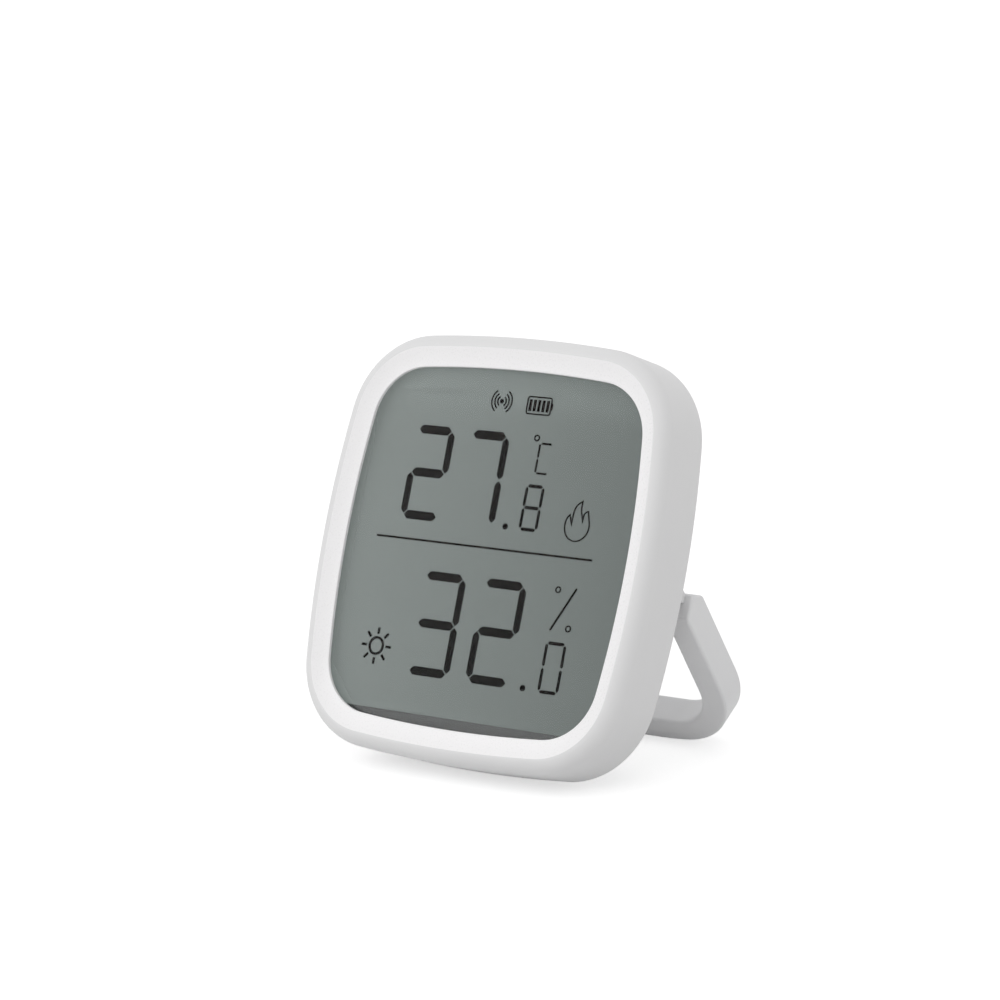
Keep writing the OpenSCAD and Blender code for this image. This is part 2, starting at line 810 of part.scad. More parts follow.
// Rear cover: plate, pod, battery tub, hinge bosses, stop lugs, button guide and vents

guide_wall = 0.9;
guide_l = 3.9;
lug_inner_gap = 0.3;
lug_rise = 1.3;
lug_bottom = pivot_drop - lug_rise;
lug_top = 1.55;
lug_root_up = 0.65;
lug_x = leg_x + lug_inner_gap;
lug_w = body_w / 2 - wall - 2 * fit_gap - lug_x;
y_lug = pivot_depth - stop_back - stop_gap;
counterbore_gap = 0.3;
notch_gap = 4;
notch_gap_r = 0.2;
pod_steps = 10;
guide_r = button_flange.x + button_gap;

module pod_outline(inset) {
    polygon(rounded(pod_w - 2 * inset, inset - pod_bottom, pod_top - inset, pod_corner_r - inset,
        pod_steps));
}

module stop_lugs() {
    for (sx = [0, 1]) mirror([sx, 0, 0]) translate([lug_x + lug_w, 0, 0]) rotate([90, 0, -90])
        linear_extrude(lug_w) polygon([[eps - y_plate_back, -lug_bottom], [-y_lug, -lug_bottom],
            [-y_lug, -lug_top], [eps - y_plate_back, lug_root_up]]);
}

module hinge_bosses() {
    hinge_rods(hinge_boss_r, pod_x - pod_wall - hinge_boss_l, pod_x - pod_wall + eps);
}

module hinge_rods(r, from, to) {
    for (sx = [0, 1]) mirror([sx, 0, 0]) translate([from, pivot_depth, -pivot_drop])
        rotate([0, 90, 0]) cylinder(r = r, h = to - from, $fn = round_fn);
}

module rear_cover() {
    color("#efeff0") standing() difference() {
        union() {
            difference() {
                union() {
                    layer(y_plate, y_plate_back) polygon(outline(wall + fit_gap, wall + fit_gap));
                    layer(y_plate + eps, total_depth) pod_outline(0);
                }
                layer(y_plate - overrun, y_pod_inner) pod_outline(pod_wall);
            }
            at_battery() post(0, 0, tub_outer_r, y_tub_floor - tub_floor_t, y_pod_inner + eps);
            post(button_x, button_z, guide_r + guide_wall, y_pod_inner - guide_l, y_pod_inner + eps);
            hinge_bosses();
            stop_lugs();
        }
        at_battery() {
            post(0, 0, tub_r, y_tub_floor, y_groove + eps);
            post(0, 0, groove_r, y_groove, y_pod_inner);
            post(0, 0, hole_r, y_pod_inner - eps, total_depth + eps);
            post(0, 0, door_flange_r, y_lip, total_depth + eps);
            layer(y_pod_inner - eps, y_lip + eps) for (a = [90, 270]) rotate(a - door_turn)
                sector(hole_r - tab_bite, tab_r + notch_gap_r, tab_span + notch_gap);
            block(0, 0, tub_slot.x, tub_slot.y, y_tub_floor - tub_floor_t - eps, y_tub_floor + eps);
            translate([cell_d / 2 - contact_slot_bite, y_tub_floor - tub_floor_t - eps,
                    -contact_w / 2 - fit_gap])
                cube([contact_slot_bite + cell_gap_r + contact_t + fit_gap,
                    y_cell_top - y_tub_floor + tub_floor_t, contact_w + 2 * fit_gap]);
        }
        post(button_x, button_z, guide_r, y_pod_inner - guide_l - eps, y_pod_inner);
        post(button_x, button_z, button_r + button_gap, y_pod_inner - eps, total_depth + eps);
        hinge_rods(pin_r, pod_x - pin_in_boss, pod_x + eps);
        at_screws() {
            post(0, 0, screw_shank_r + fit_gap, y_plate - eps, y_plate_back);
            post(0, 0, screw_head_r + counterbore_gap, y_plate_back - screw_head_h, y_plate_back + eps);
        }
        for (i = [0:vent_count - 1]) block((i - (vent_count - 1) / 2) * vent_pitch, vent_z, vent_w, vent_h,
            y_plate - eps, y_plate_back + eps);
    }
}

// Loop stand, drawn folded against the back and then opened about its pivot

function loop_outline(half, low, high, r, n) =
    let (right = concat(arc([half - r, low + r], r, -90, 0, n), [[half, high]]))
    concat(right, mirror_x(right));

// The same with a bowed foot, whose corners are tangent to the bow and to the sides
function bowed_loop(half, low, high, r, bow, n, m) =
    let (centre = [0, low + bow],
         c = [half - r, centre.y - sqrt(pow(bow - r, 2) - pow(half - r, 2))],
         a = atan2(c.y - centre.y, c.x), foot = arc(centre, bow, -90, a, m),
         right = concat([for (i = [1:m - 1]) foot[i]], arc(c, r, a, 0, n), [[half, high]]))
    concat(right, mirror_x(right));

// Crest of the leg between its stop face and its top face
crest = [stand_top * sin(open_angle) - stop_back * cos(open_angle),
    stop_back * sin(open_angle) + stand_top * cos(open_angle)];
knee_z = (stop_back - leg_front * cos(open_angle)) / sin(open_angle);
shoulder_z = crest.y - (leg_rear - crest.x) * tan(open_angle - top_tilt);

loop_outer_steps = 14;
loop_inner_steps = 12;
loop_bow_steps = 6;

module stand() {
    color("#e9e9ea") difference() {
        standing() translate(pivot) rotate([open_angle, 0, 0]) difference() {
            intersection() {
                layer(-leg_front - overrun, leg_rear + overrun) difference() {
                    polygon(bowed_loop(stand_w / 2, -stand_l, crest.y + overrun, loop_outer_r,
                        bar_bow_r, loop_outer_steps, loop_bow_steps));
                    polygon(loop_outline(leg_x, bar_h - stand_l, crest.y + 2 * overrun, loop_inner_r,
                        loop_inner_steps));
                }
                translate([-stand_w, 0, 0]) rotate([90, 0, 90]) linear_extrude(2 * stand_w) polygon([
                    [-leg_front, -stand_l - overrun], [leg_rear, -stand_l - overrun],
                    [leg_rear, shoulder_z], crest, [-leg_front, knee_z]]);
            }
            for (sx = [0, 1]) mirror([sx, 0, 0]) translate([leg_x - overrun, 0, 0]) rotate([0, 90, 0])
                cylinder(r = pin_r + pin_gap, h = overrun + pin_in_stand, $fn = round_fn);
        }
        translate([-stand_w, -body_h, -body_h]) cube([2 * stand_w, 2 * body_h, body_h]);
    }
}

module hinge_pins() {
    color("#b5b8bc") standing() hinge_rods(pin_r, pod_x - pin_in_boss, leg_x + pin_in_stand - pin_end_gap);
}

// Fasteners

driver_slot = [2.4, 0.5, 0.5];

module screw(head_r, head_h, shank_r, l, y_head) {
    difference() {
        union() {
            post(0, 0, head_r, y_head - head_h, y_head);
            post(0, 0, shank_r, y_head - head_h - l, y_head - head_h + eps);
        }
        for (a = [0, 90]) rotate([0, a, 0])
            block(0, 0, driver_slot.x * head_r / screw_head_r, driver_slot.y,
                y_head - driver_slot.z, y_head + eps);
    }
}

module case_screws() {
    color("#8f9398") standing() at_screws()
        screw(screw_head_r, screw_head_h, screw_shank_r, screw_l, y_plate_back);
}

module board_screws() {
    color("#8f9398") standing() at_board_screws()
        screw(board_screw_head_r, board_screw_head_h, board_screw_r, board_screw_l + board_t,
            y_parts + board_screw_head_h);
}

front_shell();
display_window();
window_tape();
front_polariser();
lcd_front_glass();
lcd_seal();
lcd_segments();
lcd_rear_glass();
rear_polariser();
zebra_strip();
lcd_frame();
main_board();
controller_chip();
radio_module();
radio_shield();
crystal();
chip_capacitors();
sensor_chip();
vent_membrane();
tactile_switch();
switch_plunger();
button_cap();
positive_contact();
negative_contact();
coin_cell();
rear_cover();
battery_door();
stand();
hinge_pins();
case_screws();
board_screws();
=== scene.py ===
"""Desktop temperature and humidity sensor on a loop stand, dressed around its packed solids."""
import json
import math

import bmesh
import bpy
import numpy as np
from bpy.props import FloatProperty, FloatVectorProperty, IntProperty, PointerProperty
from mathutils import Matrix, Vector


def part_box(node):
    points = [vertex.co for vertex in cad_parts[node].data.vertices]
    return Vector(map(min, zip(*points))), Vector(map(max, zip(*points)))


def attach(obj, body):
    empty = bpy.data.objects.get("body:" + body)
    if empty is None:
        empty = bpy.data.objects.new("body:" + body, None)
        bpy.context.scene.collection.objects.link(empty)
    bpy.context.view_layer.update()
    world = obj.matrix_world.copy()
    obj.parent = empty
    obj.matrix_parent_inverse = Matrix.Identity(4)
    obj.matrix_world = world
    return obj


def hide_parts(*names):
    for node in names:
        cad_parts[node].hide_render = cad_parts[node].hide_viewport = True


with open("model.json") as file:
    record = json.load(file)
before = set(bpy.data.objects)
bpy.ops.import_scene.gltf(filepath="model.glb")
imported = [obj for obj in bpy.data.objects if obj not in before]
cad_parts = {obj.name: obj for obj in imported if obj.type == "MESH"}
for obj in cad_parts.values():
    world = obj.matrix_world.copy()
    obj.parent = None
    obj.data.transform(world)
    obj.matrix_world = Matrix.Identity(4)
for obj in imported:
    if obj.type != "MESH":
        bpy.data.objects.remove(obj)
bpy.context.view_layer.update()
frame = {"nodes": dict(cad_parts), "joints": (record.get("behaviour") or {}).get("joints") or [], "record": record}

bl_info = {
    "name": "Display sensor dressing",
    "version": (1, 0, 0),
    "blender": (4, 5, 0),
    "location": "View3D > Sidebar > Sensor",
    "description": "Builds the visible pieces, finishes and stage of a display sensor",
    "category": "Object",
}

MM = 0.001
LEFT_RIGHT = (-1, 1)

# ---------------------------------------------------------------- where the packed part lies

JOINTS = {joint["name"]: joint for joint in frame["joints"]}
MOUNTS = {mount["name"]: mount for mount in frame["record"]["mounts"]}
SHELL_LOW, SHELL_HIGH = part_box("front_shell")

RIGHT = np.array([1.0, 0.0, 0.0])
DEPTH = np.array(MOUNTS["wall_face"]["axis"])
DEPTH = DEPTH / np.linalg.norm(DEPTH)
UP = np.cross(RIGHT, DEPTH)
TOTAL_DEPTH = 18.5 * MM
BATTERY_DROP = 6.0 * MM
BATTERY = (0.0, -BATTERY_DROP)
# The door turns about the back of the pod, a battery drop below the middle of the face
FACE_MIDDLE = np.array(JOINTS["door_turn"]["pos_m"]) - TOTAL_DEPTH * DEPTH + BATTERY_DROP * UP
PIVOT = np.array(JOINTS["stand_fold"]["pos_m"])
OPEN_ANGLE = math.radians(JOINTS["stand_fold"]["range_deg"][1])
LEG_BACK = DEPTH * math.cos(OPEN_ANGLE) + UP * math.sin(OPEN_ANGLE)
LEG_UP = UP * math.cos(OPEN_ANGLE) - DEPTH * math.sin(OPEN_ANGLE)


def on_face(points):
    """Places points given as right, depth behind the front crease and height up the leaned face."""
    return FACE_MIDDLE + points @ np.stack([RIGHT, DEPTH, UP])


def on_stand(points):
    """Places points given as right, behind the leg's pivot and up the leg, all about the hinge."""
    return PIVOT + points @ np.stack([RIGHT, LEG_BACK, LEG_UP])


# ---------------------------------------------------------------- sizes and colours


def length(name, description, default):
    """A length for the panel, with its default in millimetres."""
    return FloatProperty(name=name, description=description, default=default * MM, unit="LENGTH",
                         precision=5)


def amount(name, description, default, **more):
    """A number for the panel that is never below nought."""
    return FloatProperty(name=name, description=description, default=default, min=0, **more)


def tint(name, description, *default):
    """An opaque colour for the panel."""
    return FloatVectorProperty(name=name, description=description, default=(*default, 1), size=4,
                               subtype="COLOR", min=0.0, max=1.0)


class ShellSizes(bpy.types.PropertyGroup):
    """Sizes of the front shell, its window and the outline they share"""
    width: length("Width", "Width of the body", (SHELL_HIGH.x - SHELL_LOW.x) / MM)
    height: length("Height", "Height of the body up its face", 62.5)
    side_bow: length("Side bow", "Bow radius of the left and right sides", 152)
    top_bow: length("Top bow", "Bow radius of the top and bottom", 211)
    corner: length("Corner", "Radius of the outline's corners", 13.35)
    wall: length("Wall", "Wall of the front shell", 1.6)
    side_depth: length("Side depth", "Depth of the side wall", 10.4)
    band_width: length("Band width", "Width of the rounded band outside the crease", 2.05)
    band_depth: length("Band depth", "Depth of the rounded band outside the crease", 2.3)
    rear_edge: length("Rear edge", "Radius of the rear edge of the side wall", 1.25)
    inner_edge: length("Inner edge", "Radius of the rear edge inside the wall", 0.1)
    opening_side: length("Opening side", "From the side to the display opening", 4.5)
    opening_top: length("Opening top", "From the top to the display opening", 4.9)
    sink: length("Sink", "How far the bezel ring slopes in at the opening", 0.97)
    hollow: amount("Hollow", "How much the bezel ring's slope eases inwards", 0.35)
    ledge: length("Ledge", "Depth of the ledge that the window is taped to", 1.45)
    crease: length("Crease", "Radius of the crease round the bezel ring", 0.22)
    lip: length("Lip", "Radius of the lip round the opening", 0.14)
    fit: length("Fit", "Clearance of the pieces that drop into the shell", 0.2)
    window_front: length("Window front", "Depth of the window's front face", 1.6)
    window_back: length("Window back", "Depth of the window's rear face", 2.58)
    window_bevel: length("Window bevel", "Bevel round the window's edge", 0.08)


class RearSizes(bpy.types.PropertyGroup):
    """Sizes of the rear cover, its door, button, vents and screws"""
    plate_front: length("Plate front", "Depth of the plate's inner face", 8.8)
    plate_back: length("Plate back", "Depth of the plate's outer face", 10.2)
    plate_edge: length("Plate edge", "Rounding of the plate's and the recess's edge", 0.2)
    pod_side: length("Pod side", "From the body's side to the raised pod", 6.45)
    pod_top: length("Pod top", "Top of the pod above the middle", 19.5)
    pod_bottom: length("Pod bottom", "Bottom of the pod below the middle", 24.9)
    pod_corner: length("Pod corner", "Radius of the pod's corners", 13.0)
    pod_wall: length("Pod wall", "Wall of the pod", 1.6)
    pod_edge: length("Pod edge", "Rounding of the pod's back edge", 0.9)
    pod_foot: length("Pod foot", "Hollow where the pod meets the plate", 0.7)
    recess: length("Recess", "Radius of the door's recess", 14.6)
    door: length("Door", "Radius of the battery door", 14.3)
    hub: length("Hub", "Radius of the door's hub", 12.8)
    hole: length("Hole", "Radius of the battery opening", 13.1)
    button: length("Button", "Radius of the pairing button", 2.3)
    button_x: length("Button right", "Button to the right of the middle", 14.0)
    button_z: length("Button height", "Button above the middle", 12.0)
    dish: length("Dish", "Depth of the dish in the button", 0.14)
    vents: IntProperty(name="Vents", description="Number of vent slots", default=9, min=1)
    vent_pitch: length("Vent pitch", "From one vent slot to the next", 2.8)
    vent_z: length("Vent height", "Vent slots above the middle", 24.0)
    screw_reach: length("Screw reach", "From the corner's centre to its screw", 8.3)
    screw_head: length("Screw head", "Radius of a screw's head", 1.8)


class StandSizes(bpy.types.PropertyGroup):
    """Sizes of the loop stand, about its hinge"""
    half_outer: length("Outer half", "Half the width of the loop", 28.8)
    half_inner: length("Inner half", "Half the width inside the loop", 24.6)
    low_outer: length("Outer low", "From the hinge to the bar's underside", 25.9484)
    low_inner: length("Inner low", "From the hinge to the bar's upper side", 21.3484)
    outer_corner: length("Outer corner", "Outer corner radius of the loop", 12.0)
    inner_corner: length("Inner corner", "Inner corner radius of the loop", 7.5)
    bow: length("Bow", "Bow radius of the bar's underside", 200)
    front: length("Front", "From the hinge to the leg's front face", 2.2)
    rear: length("Rear", "From the hinge to the leg's rear face", 2.8)
    stop: length("Stop", "From the hinge to the leg's stop face", 2.2)
    top: length("Top", "From the hinge to the opened leg's top face", 2.6)
    tilt: amount("Tilt", "Rise of the opened leg's top face to its back", math.radians(10),
                 subtype="ANGLE")
    crest: length("Crest", "Softness of the crest between stop face and top face", 0.7)
    edge: length("Edge", "Rounding of the loop's edges", 0.45)
    pin_hole: length("Pin hole", "Radius of the hole for the hinge pin", 1.05)


class FinishColours(bpy.types.PropertyGroup):
    """Colours of the finishes that show"""
    shell: tint("Shell", "White of the moulded shell", 0.80, 0.798, 0.80)
    shell_shade: tint("Shell shade", "Shade in the shell's white", 0.785, 0.783, 0.787)
    # The ring's white is lighter than the shell's: painted light on the bezel ring
    ring: tint("Ring", "White of the bezel ring", 0.968, 0.96, 0.966)
    # The stand's white is a little lighter than the shell's: painted light that lifts the shade on the stand's
    # front and bar
    stand: tint("Stand", "White of the loop stand", 0.82, 0.82, 0.825)
    stand_shade: tint("Stand shade", "Shade in the stand's white", 0.805, 0.805, 0.815)
    # The display ground's two colours are painted light: lighter at the left, darker at the right, as light from
    # the left falls
    screen_lit_left: tint("Screen left", "Display ground at its left", 0.446, 0.491, 0.477)
    screen_shaded_right: tint("Screen right", "Display ground at its right", 0.311, 0.345, 0.335)
    figures: tint("Figures", "Lit figures of the display", 0.005, 0.003, 0.003)
    strip: tint("Strip", "Contact strip under the display", 0.075, 0.077, 0.078)


class StageSettings(bpy.types.PropertyGroup):
    """Light, floor and camera"""
    sky_low: amount("Sky low", "Light from the horizon", 0.60)
    sky_high: amount("Sky high", "Light from overhead", 0.80)
    key_power: amount("Key", "Power of the soft key lamp", 0.72, unit="POWER")
    fill_power: amount("Fill", "Power of the soft fill lamp", 0.3, unit="POWER")
    lamp_size: length("Lamp size", "Side of the soft lamps", 500)
    lamp_reach: length("Lamp reach", "From the face to the soft lamps", 600)
    floor_size: length("Floor size", "Side of the floor", 6000)
    floor_glow: amount("Floor glow", "Lift of the floor to white for the camera", 0.54)
    lens: amount("Lens", "Focal length in millimetres", 142.0, unit="CAMERA")
    reach: length("Camera reach", "From the middle of the face to the camera", 564.64)


# ---------------------------------------------------------------- outlines and profiles

SIDE_STEPS = 14
CORNER_STEPS = 34
LATHE_STEPS = 96


def quarter_turn(count):
    """Angles from nought to a right angle, evenly spaced."""
    return np.linspace(0, math.pi / 2, count)


def arc(centre, radius, start, end, steps):
    """Points of a circular arc, evenly spaced in angle from start to end."""
    turn = np.linspace(start, end, steps + 1)
    return np.stack([centre[0] + radius * np.cos(turn), centre[1] + radius * np.sin(turn)], -1)


def four_fold(quarter):
    """A closed outline from its first quarter, by mirroring it in both axes."""
    back = quarter[:0:-1]
    return np.concatenate([quarter[:-1], back * (-1, 1), -quarter[:-1], back * (1, -1)])


def bowed_outline(body, inset):
    """The body's outline, moved in by an inset. A quarter is a wide arc of the side, a corner arc
    and a wide arc of the top. The corner's centre is where the circles about the two bow centres
    cross, so neighbouring arcs share their tangents. Inside the crease the top and bottom move in
    a little further than the sides, as the display opening does."""
    share = (body.opening_top - body.opening_side) / (body.opening_side - body.band_width)
    inset_z = inset + share * max(0.0, inset - body.band_width)
    radius = body.corner - (inset + inset_z) / 2
    side = np.array([body.width / 2 - body.side_bow, 0.0])
    top = np.array([0.0, body.height / 2 - body.top_bow])
    from_side = body.side_bow - inset - radius
    from_top = body.top_bow - inset_z - radius
    apart = np.linalg.norm(top - side)
    along = (from_side ** 2 - from_top ** 2 + apart ** 2) / (2 * apart)
    across = math.sqrt(from_side ** 2 - along ** 2)
    way = (top - side) / apart
    corner = side + along * way + across * np.array([-way[1], way[0]])
    first = math.atan2(corner[1], corner[0] - side[0])
    last = math.atan2(corner[1] - top[1], corner[0])
    return four_fold(np.concatenate([
        arc(side, body.side_bow - inset, 0.0, first, SIDE_STEPS)[:-1],
        arc(corner, radius, first, last, CORNER_STEPS),
        arc(top, body.top_bow - inset_z, last, math.pi / 2, SIDE_STEPS)[1:]]))


def corner_centre(body, inset):
    """Centre of the outline's corner arc, read back from three points of that arc."""
    quarter = bowed_outline(body, inset)[SIDE_STEPS:SIDE_STEPS + CORNER_STEPS + 1]
    a, b, c = quarter[0], quarter[CORNER_STEPS // 2], quarter[-1]
    return np.linalg.solve(2 * np.array([b - a, c - a]), [b @ b - a @ a, c @ c - a @ a])


def rounded_outline(half_w, half_h, radius, centre, straight=SIDE_STEPS, turn=CORNER_STEPS):
    """A rounded rectangle about a centre: straight side, corner arc and straight top, mirrored."""
    side = np.linspace((half_w, 0.0), (half_w, half_h - radius), straight + 1)
    top = np.linspace((half_w - radius, half_h), (0.0, half_h), straight + 1)
    corner = arc((half_w - radius, half_h - radius), radius, 0.0, math.pi / 2, turn)
    return four_fold(np.concatenate([side[:-1], corner, top[1:]])) + np.asarray(centre)


def circle_outline(radius, centre, steps=4 * (2 * SIDE_STEPS + CORNER_STEPS)):
    """A circle about a centre, counted round from its right."""
    return arc(centre, radius, 0.0, 2 * math.pi, steps)[:-1]


def rounded_profile(corners, steps=6):
    """An open profile through corner points (across, depth, radius). Each corner with a radius is
    an arc that touches both of its sides, and every other corner stays a point."""
    points = np.array([corner[:2] for corner in corners], float)
    pieces = [points[:1]]
    for i in range(1, len(corners) - 1):
        here, radius = points[i], corners[i][2]
        if not radius:
            pieces.append(points[i:i + 1])
            continue
        back, on = points[i - 1] - here, points[i + 1] - here
        back, on = back / np.linalg.norm(back), on / np.linalg.norm(on)
        half = math.acos(np.clip(back @ on, -1, 1)) / 2
        mid = here + (back + on) / np.linalg.norm(back + on) * radius / math.sin(half)
        reach = radius / math.tan(half)
        start, end = here + back * reach - mid, here + on * reach - mid
        first = math.atan2(start[1], start[0])
        turn = math.atan2(end[1], end[0]) - first
        turn = (turn + math.pi) % (2 * math.pi) - math.pi
        pieces.append(arc(mid, radius, first, first + turn, steps))
    pieces.append(points[-1:])
    return np.concatenate(pieces)


# ---------------------------------------------------------------- meshes

DOUBLED = 1e-8


def at_depth(outline, depth):
    """A flat outline (right, up) lifted to points (right, depth, up)."""
    return np.stack([outline[:, 0], np.full(len(outline), depth), outline[:, 1]], -1)


def lofted(rings, closed=False, capped=False):
    """Joins rings of points one to the next by four-sided faces. A closed loft joins its last ring
    to its first, and a capped one ends in two flat faces."""
    rings = np.asarray(rings)
    rows, count = rings.shape[:2]
    row = np.arange(rows if closed else rows - 1)[:, None]
    col = np.arange(count)[None, :]
    on, next_row = (col + 1) % count, (row + 1) % rows
    faces = np.stack([row * count + col, row * count + on, next_row * count + on,
                      next_row * count + col], -1).reshape(-1, 4).tolist()
    if capped:
        faces += [list(range(count)), list(range((rows - 1) * count, rows * count))]
    return rings.reshape(-1, 3), faces


def turned(profile, centre, steps=LATHE_STEPS):
    """A profile (radius, depth) turned about an axis along the depth: each point becomes a ring."""
    angle = np.linspace(0, 2 * math.pi, steps, endpoint=False)
    right = centre[0] + profile[:, :1] * np.cos(angle)
    height = centre[1] + profile[:, :1] * np.sin(angle)
    depth = np.broadcast_to(profile[:, 1:], right.shape)
    return lofted(np.stack([right, depth, height], -1))


def rods(start, end, radius, at, steps=48):
    """Two round rods along the right axis, left and right of the middle, at (depth, up)."""
    ring = circle_outline(radius, at, steps)
    return [lofted([np.column_stack([np.full(steps, side * x), ring]) for x in (start, end)],
                   capped=True) for side in LEFT_RIGHT]


def prism(outlines_and_depths):
    """A capped loft through flat outlines, each at its depth."""
    return lofted([at_depth(outline, depth) for outline, depth in outlines_and_depths], capped=True)


def gathered(parts):
    """Several meshes as one list of points and one list of faces."""
    points, faces, start = [], [], 0
    for part_points, part_faces in parts:
        points.append(part_points)
        faces += [[start + i for i in face] for face in part_faces]
        start += len(part_points)
    return np.concatenate(points), faces


def new_piece(name, points, faces):
    """A mesh object at the origin, with its doubled points merged and its faces turned outwards."""
    mesh = bpy.data.meshes.new(name)
    mesh.from_pydata(np.asarray(points).tolist(), [], faces)
    work = bmesh.new()
    work.from_mesh(mesh)
    bmesh.ops.remove_doubles(work, verts=work.verts, dist=DOUBLED)
    bmesh.ops.recalc_face_normals(work, faces=work.faces)
    work.to_mesh(mesh)
    work.free()
    piece = bpy.data.objects.new(name, mesh)
    bpy.context.scene.collection.objects.link(piece)
    return piece


def worked(piece, operation, parts, place=on_face):
    """Joins other solids to a piece, or cuts them away, and keeps the result as plain mesh."""
    points, faces = gathered(parts)
    tool = new_piece(piece.name + "_tool", place(points), faces)
    step = piece.modifiers.new("work", "BOOLEAN")
    step.operation, step.solver, step.object = operation, "EXACT", tool
    bpy.context.view_layer.update()
    result = bpy.data.meshes.new_from_object(
        piece.evaluated_get(bpy.context.evaluated_depsgraph_get()))
    piece.modifiers.clear()
    before, piece.data = piece.data, result
    result.name = piece.name
    bpy.data.meshes.remove(before)
    gone = tool.data
    bpy.data.objects.remove(tool)
    bpy.data.meshes.remove(gone)


def dressed(piece, material, body, nodes, sharp=32):
    """Gives a piece its shading, its finish, the body it rides on and the solids it stands for.
    Edges over the sharp angle, in degrees, stay sharp."""
    if not len(piece.data.polygons):
        raise RuntimeError(piece.name + " has no faces")
    piece.data.shade_smooth()
    piece.data.set_sharp_from_angle(angle=math.radians(sharp))
    weigh = piece.modifiers.new("even_shading", "WEIGHTED_NORMAL")
    weigh.keep_sharp = True
    piece.data.materials.clear()
    piece.data.materials.append(material)
    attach(piece, body)
    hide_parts(*nodes)


# ---------------------------------------------------------------- nodes and groups

COLOUR, FLOAT = "NodeSocketColor", "NodeSocketFloat"
GREY, WHITE, BLACK = (0.5, 0.5, 0.5, 1), (1, 1, 1, 1), (0, 0, 0, 1)
SKIN = {"Colour": COLOUR, "Roughness": FLOAT, "Height": FLOAT}
# The middle part of a noise, where most of its values lie, for roughness and for a drift of colour
NOISE_LOW, NOISE_HIGH = 0.3, 0.7
DRIFT_LOW, DRIFT_HIGH = 0.35, 0.65
# Half the width over which the display's ground is painted lighter at the left and darker at the right, painted
# light from the left
SCREEN_HALF = 26 * MM


def feed(tree, target, inputs):
    """Sets or links the inputs of a node."""
    for key, value in inputs.items():
        if isinstance(value, bpy.types.NodeSocket):
            tree.links.new(value, target.inputs[key])
        else:
            target.inputs[key].default_value = value


def node(tree, kind, inputs=None, **settings):
    """Adds a node with its settings and its inputs."""
    new = tree.nodes.new("ShaderNode" + kind)
    for key, value in settings.items():
        setattr(new, key, value)
    feed(tree, new, inputs or {})
    return new


def own_place(tree):
    """The place of a point in its object's own coordinates."""
    return node(tree, "TexCoord").outputs["Object"]


def noise(tree, place, scale, detail=2.0):
    """A soft noise over a place."""
    return node(tree, "TexNoise", {"Vector": place, "Scale": scale, "Detail": detail}).outputs[0]


def threads(tree, way, distortion=0.0, scale=900.0):
    """Fine bands across one axis of the object."""
    return node(tree, "TexWave", {"Vector": own_place(tree), "Scale": scale,
                                  "Distortion": distortion},
                wave_type="BANDS", bands_direction=way).outputs["Fac"]


def maths(tree, operation, *values):
    """One step of arithmetic."""
    return node(tree, "Math", dict(enumerate(values)), operation=operation).outputs[0]


def mixed(tree, factor, first, second):
    """Blends two colours by a factor."""
    return node(tree, "Mix", {0: factor, 6: first, 7: second}, data_type="RGBA").outputs[2]


def blended(tree, factor, first, second):
    """Blends two numbers by a factor."""
    return node(tree, "Mix", {0: factor, 2: first, 3: second}, data_type="FLOAT").outputs[0]


def ranged(tree, value, low, high, to_low, to_high):
    """Maps a value from one range to another, held at the ends."""
    return node(tree, "MapRange", {"Value": value, "From Min": low, "From Max": high,
                                   "To Min": to_low, "To Max": to_high}).outputs[0]


def spread(tree, value, first, last):
    """Maps nought to one onto another range."""
    return ranged(tree, value, 0.0, 1.0, first, last)


def roughened(tree, value, smooth, rough):
    """A roughness between two ends, by a noise."""
    return ranged(tree, value, NOISE_LOW, NOISE_HIGH, smooth, rough)


def shared(name, inputs):
    """Makes a node group with named inputs and the outputs of a skin once, by the function that
    fills it, and hands out the same group after that."""
    def filled_by(fill):
        def group():
            if name not in bpy.data.node_groups:
                tree = bpy.data.node_groups.new(name, "ShaderNodeTree")
                for label, kind, default in inputs:
                    tree.interface.new_socket(name=label, in_out="INPUT",
                                              socket_type=kind).default_value = default
                for label, kind in SKIN.items():
                    tree.interface.new_socket(name=label, in_out="OUTPUT", socket_type=kind)
                given = tree.nodes.new("NodeGroupInput").outputs
                skin = fill(tree, given, own_place(tree))
                feed(tree, tree.nodes.new("NodeGroupOutput"), dict(zip(SKIN, skin)))
            return bpy.data.node_groups[name]
        return group
    return filled_by


@shared("Moulded grain", [("Colour", COLOUR, GREY), ("Shade", COLOUR, GREY),
                          ("Grain", FLOAT, 4000.0), ("Smooth", FLOAT, 0.36),
                          ("Rough", FLOAT, 0.46)])
def moulded_grain(tree, given, place):
    """Moulded plastic. A broad noise drifts between two colours, and a fine noise gives the grain
    of the mould, in the roughness and as a height."""
    broad = noise(tree, place, scale=38.0, detail=3.0)
    drift = ranged(tree, broad, DRIFT_LOW, DRIFT_HIGH, 0.0, 1.0)
    fine = noise(tree, place, given["Grain"])
    return (mixed(tree, drift, given["Colour"], given["Shade"]),
            roughened(tree, fine, given["Smooth"], given["Rough"]), fine)


@shared("Drawn metal", [("Colour", COLOUR, GREY), ("Shade", COLOUR, GREY),
                        ("Marks", FLOAT, 6000.0), ("Smooth", FLOAT, 0.2), ("Rough", FLOAT, 0.4)])
def drawn_metal(tree, given, place):
    """Sheet metal. A noise stretched along one way of the sheet gives its drawing marks, and a
    broader one its stains."""
    stretch = node(tree, "Mapping", {"Vector": place, "Scale": (0.03, 1.0, 1.0)}).outputs[0]
    marks = noise(tree, stretch, given["Marks"], detail=3.0)
    stain = noise(tree, place, scale=260.0)
    return (mixed(tree, stain, given["Colour"], given["Shade"]),
            roughened(tree, marks, given["Smooth"], given["Rough"]), marks)


